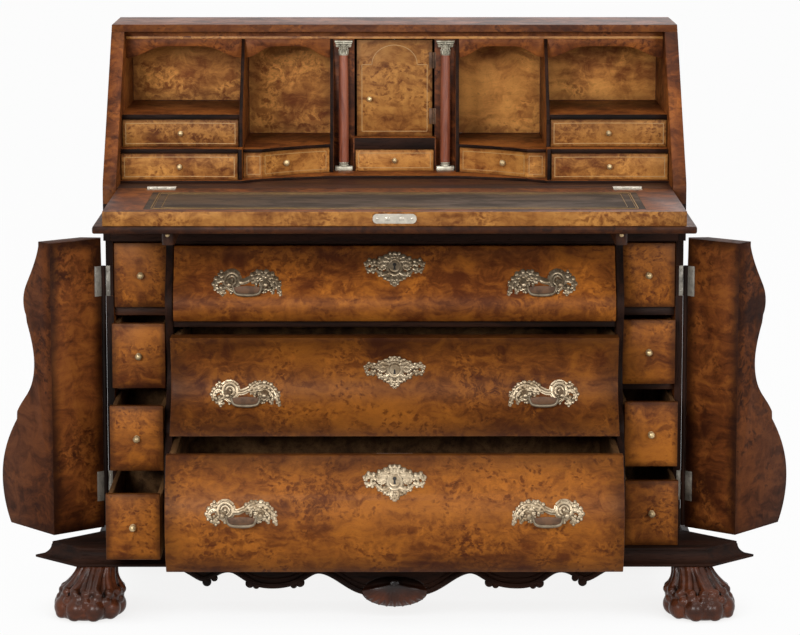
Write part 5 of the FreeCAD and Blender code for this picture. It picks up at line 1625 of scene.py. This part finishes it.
class ESCRITOIRE_OT_base(bpy.types.Operator):
    """Moulded platform, apron and shell"""

    bl_idname = "escritoire.base"
    bl_label = "Base"

    def execute(self, context):
        make_base()
        return {"FINISHED"}


class ESCRITOIRE_OT_feet(bpy.types.Operator):
    """Carved paws"""

    bl_idname = "escritoire.feet"
    bl_label = "Feet"

    def execute(self, context):
        make_feet()
        return {"FINISHED"}


class ESCRITOIRE_OT_long_drawers(bpy.types.Operator):
    """Bombe drawers"""

    bl_idname = "escritoire.long_drawers"
    bl_label = "Long drawers"

    def execute(self, context):
        make_long_drawers()
        return {"FINISHED"}


class ESCRITOIRE_OT_mounts(bpy.types.Operator):
    """Handle plates, keyhole plates and bails"""

    bl_idname = "escritoire.mounts"
    bl_label = "Mounts"

    def execute(self, context):
        make_mounts()
        return {"FINISHED"}


class ESCRITOIRE_OT_doors(bpy.types.Operator):
    """Thick bombe doors with their hinges"""

    bl_idname = "escritoire.doors"
    bl_label = "Cupboard doors"

    def execute(self, context):
        make_doors()
        return {"FINISHED"}


class ESCRITOIRE_OT_side_drawers(bpy.types.Operator):
    """Small drawers behind the doors"""

    bl_idname = "escritoire.side_drawers"
    bl_label = "Side drawers"

    def execute(self, context):
        make_side_drawers()
        return {"FINISHED"}


class ESCRITOIRE_OT_fall(bpy.types.Operator):
    """Writing fall with leather, lock and hinges"""

    bl_idname = "escritoire.fall"
    bl_label = "Fall"

    def execute(self, context):
        make_fall()
        return {"FINISHED"}


class ESCRITOIRE_OT_lopers(bpy.types.Operator):
    """Slides under the fall"""

    bl_idname = "escritoire.lopers"
    bl_label = "Lopers"

    def execute(self, context):
        make_lopers()
        return {"FINISHED"}


class ESCRITOIRE_OT_desk_case(bpy.types.Operator):
    """Pigeonholes and valances"""

    bl_idname = "escritoire.desk_case"
    bl_label = "Desk case"

    def execute(self, context):
        make_desk_case()
        return {"FINISHED"}


class ESCRITOIRE_OT_columns(bpy.types.Operator):
    """Columns with capitals and bases"""

    bl_idname = "escritoire.columns"
    bl_label = "Columns"

    def execute(self, context):
        make_columns()
        return {"FINISHED"}


class ESCRITOIRE_OT_desk_drawers(bpy.types.Operator):
    """Drawers of the desk"""

    bl_idname = "escritoire.desk_drawers"
    bl_label = "Desk drawers"

    def execute(self, context):
        make_desk_drawers()
        return {"FINISHED"}


class ESCRITOIRE_OT_prospect(bpy.types.Operator):
    """Small cupboard door of the desk"""

    bl_idname = "escritoire.prospect"
    bl_label = "Prospect door"

    def execute(self, context):
        make_prospect()
        return {"FINISHED"}


class ESCRITOIRE_OT_fixed_hinges(bpy.types.Operator):
    """Hinge leaves on the case"""

    bl_idname = "escritoire.fixed_hinges"
    bl_label = "Fixed hinges"

    def execute(self, context):
        make_fixed_hinges()
        return {"FINISHED"}


OPERATORS = (
    ESCRITOIRE_OT_stage, ESCRITOIRE_OT_case, ESCRITOIRE_OT_base, ESCRITOIRE_OT_feet,
    ESCRITOIRE_OT_long_drawers, ESCRITOIRE_OT_mounts, ESCRITOIRE_OT_doors, ESCRITOIRE_OT_side_drawers,
    ESCRITOIRE_OT_fall, ESCRITOIRE_OT_lopers, ESCRITOIRE_OT_desk_case, ESCRITOIRE_OT_columns,
    ESCRITOIRE_OT_desk_drawers, ESCRITOIRE_OT_prospect, ESCRITOIRE_OT_fixed_hinges,
)


class ESCRITOIRE_PT_panel(bpy.types.Panel):
    """Lists the pieces and what can be changed"""

    bl_label = "Escritoire"
    bl_idname = "ESCRITOIRE_PT_panel"
    bl_space_type = "VIEW_3D"
    bl_region_type = "UI"
    bl_category = "Escritoire"

    def draw(self, context):
        for made in OPERATORS:
            self.layout.operator(made.bl_idname)
        for own in (context.scene.escritoire_sizes, context.scene.escritoire_colours):
            for key in own.__annotations__:
                self.layout.prop(own, key)


CLASSES = (EscritoireSizes, EscritoireColours, *OPERATORS, ESCRITOIRE_PT_panel)


def register():
    for made in CLASSES:
        bpy.utils.register_class(made)
    bpy.types.Scene.escritoire_sizes = PointerProperty(type=EscritoireSizes)
    bpy.types.Scene.escritoire_colours = PointerProperty(type=EscritoireColours)


def unregister():
    del bpy.types.Scene.escritoire_colours
    del bpy.types.Scene.escritoire_sizes
    for made in reversed(CLASSES):
        bpy.utils.unregister_class(made)


def main():
    register()
    for made in OPERATORS:
        getattr(bpy.ops.escritoire, made.bl_idname.split(".")[1])()


if __name__ == "__main__":
    main()
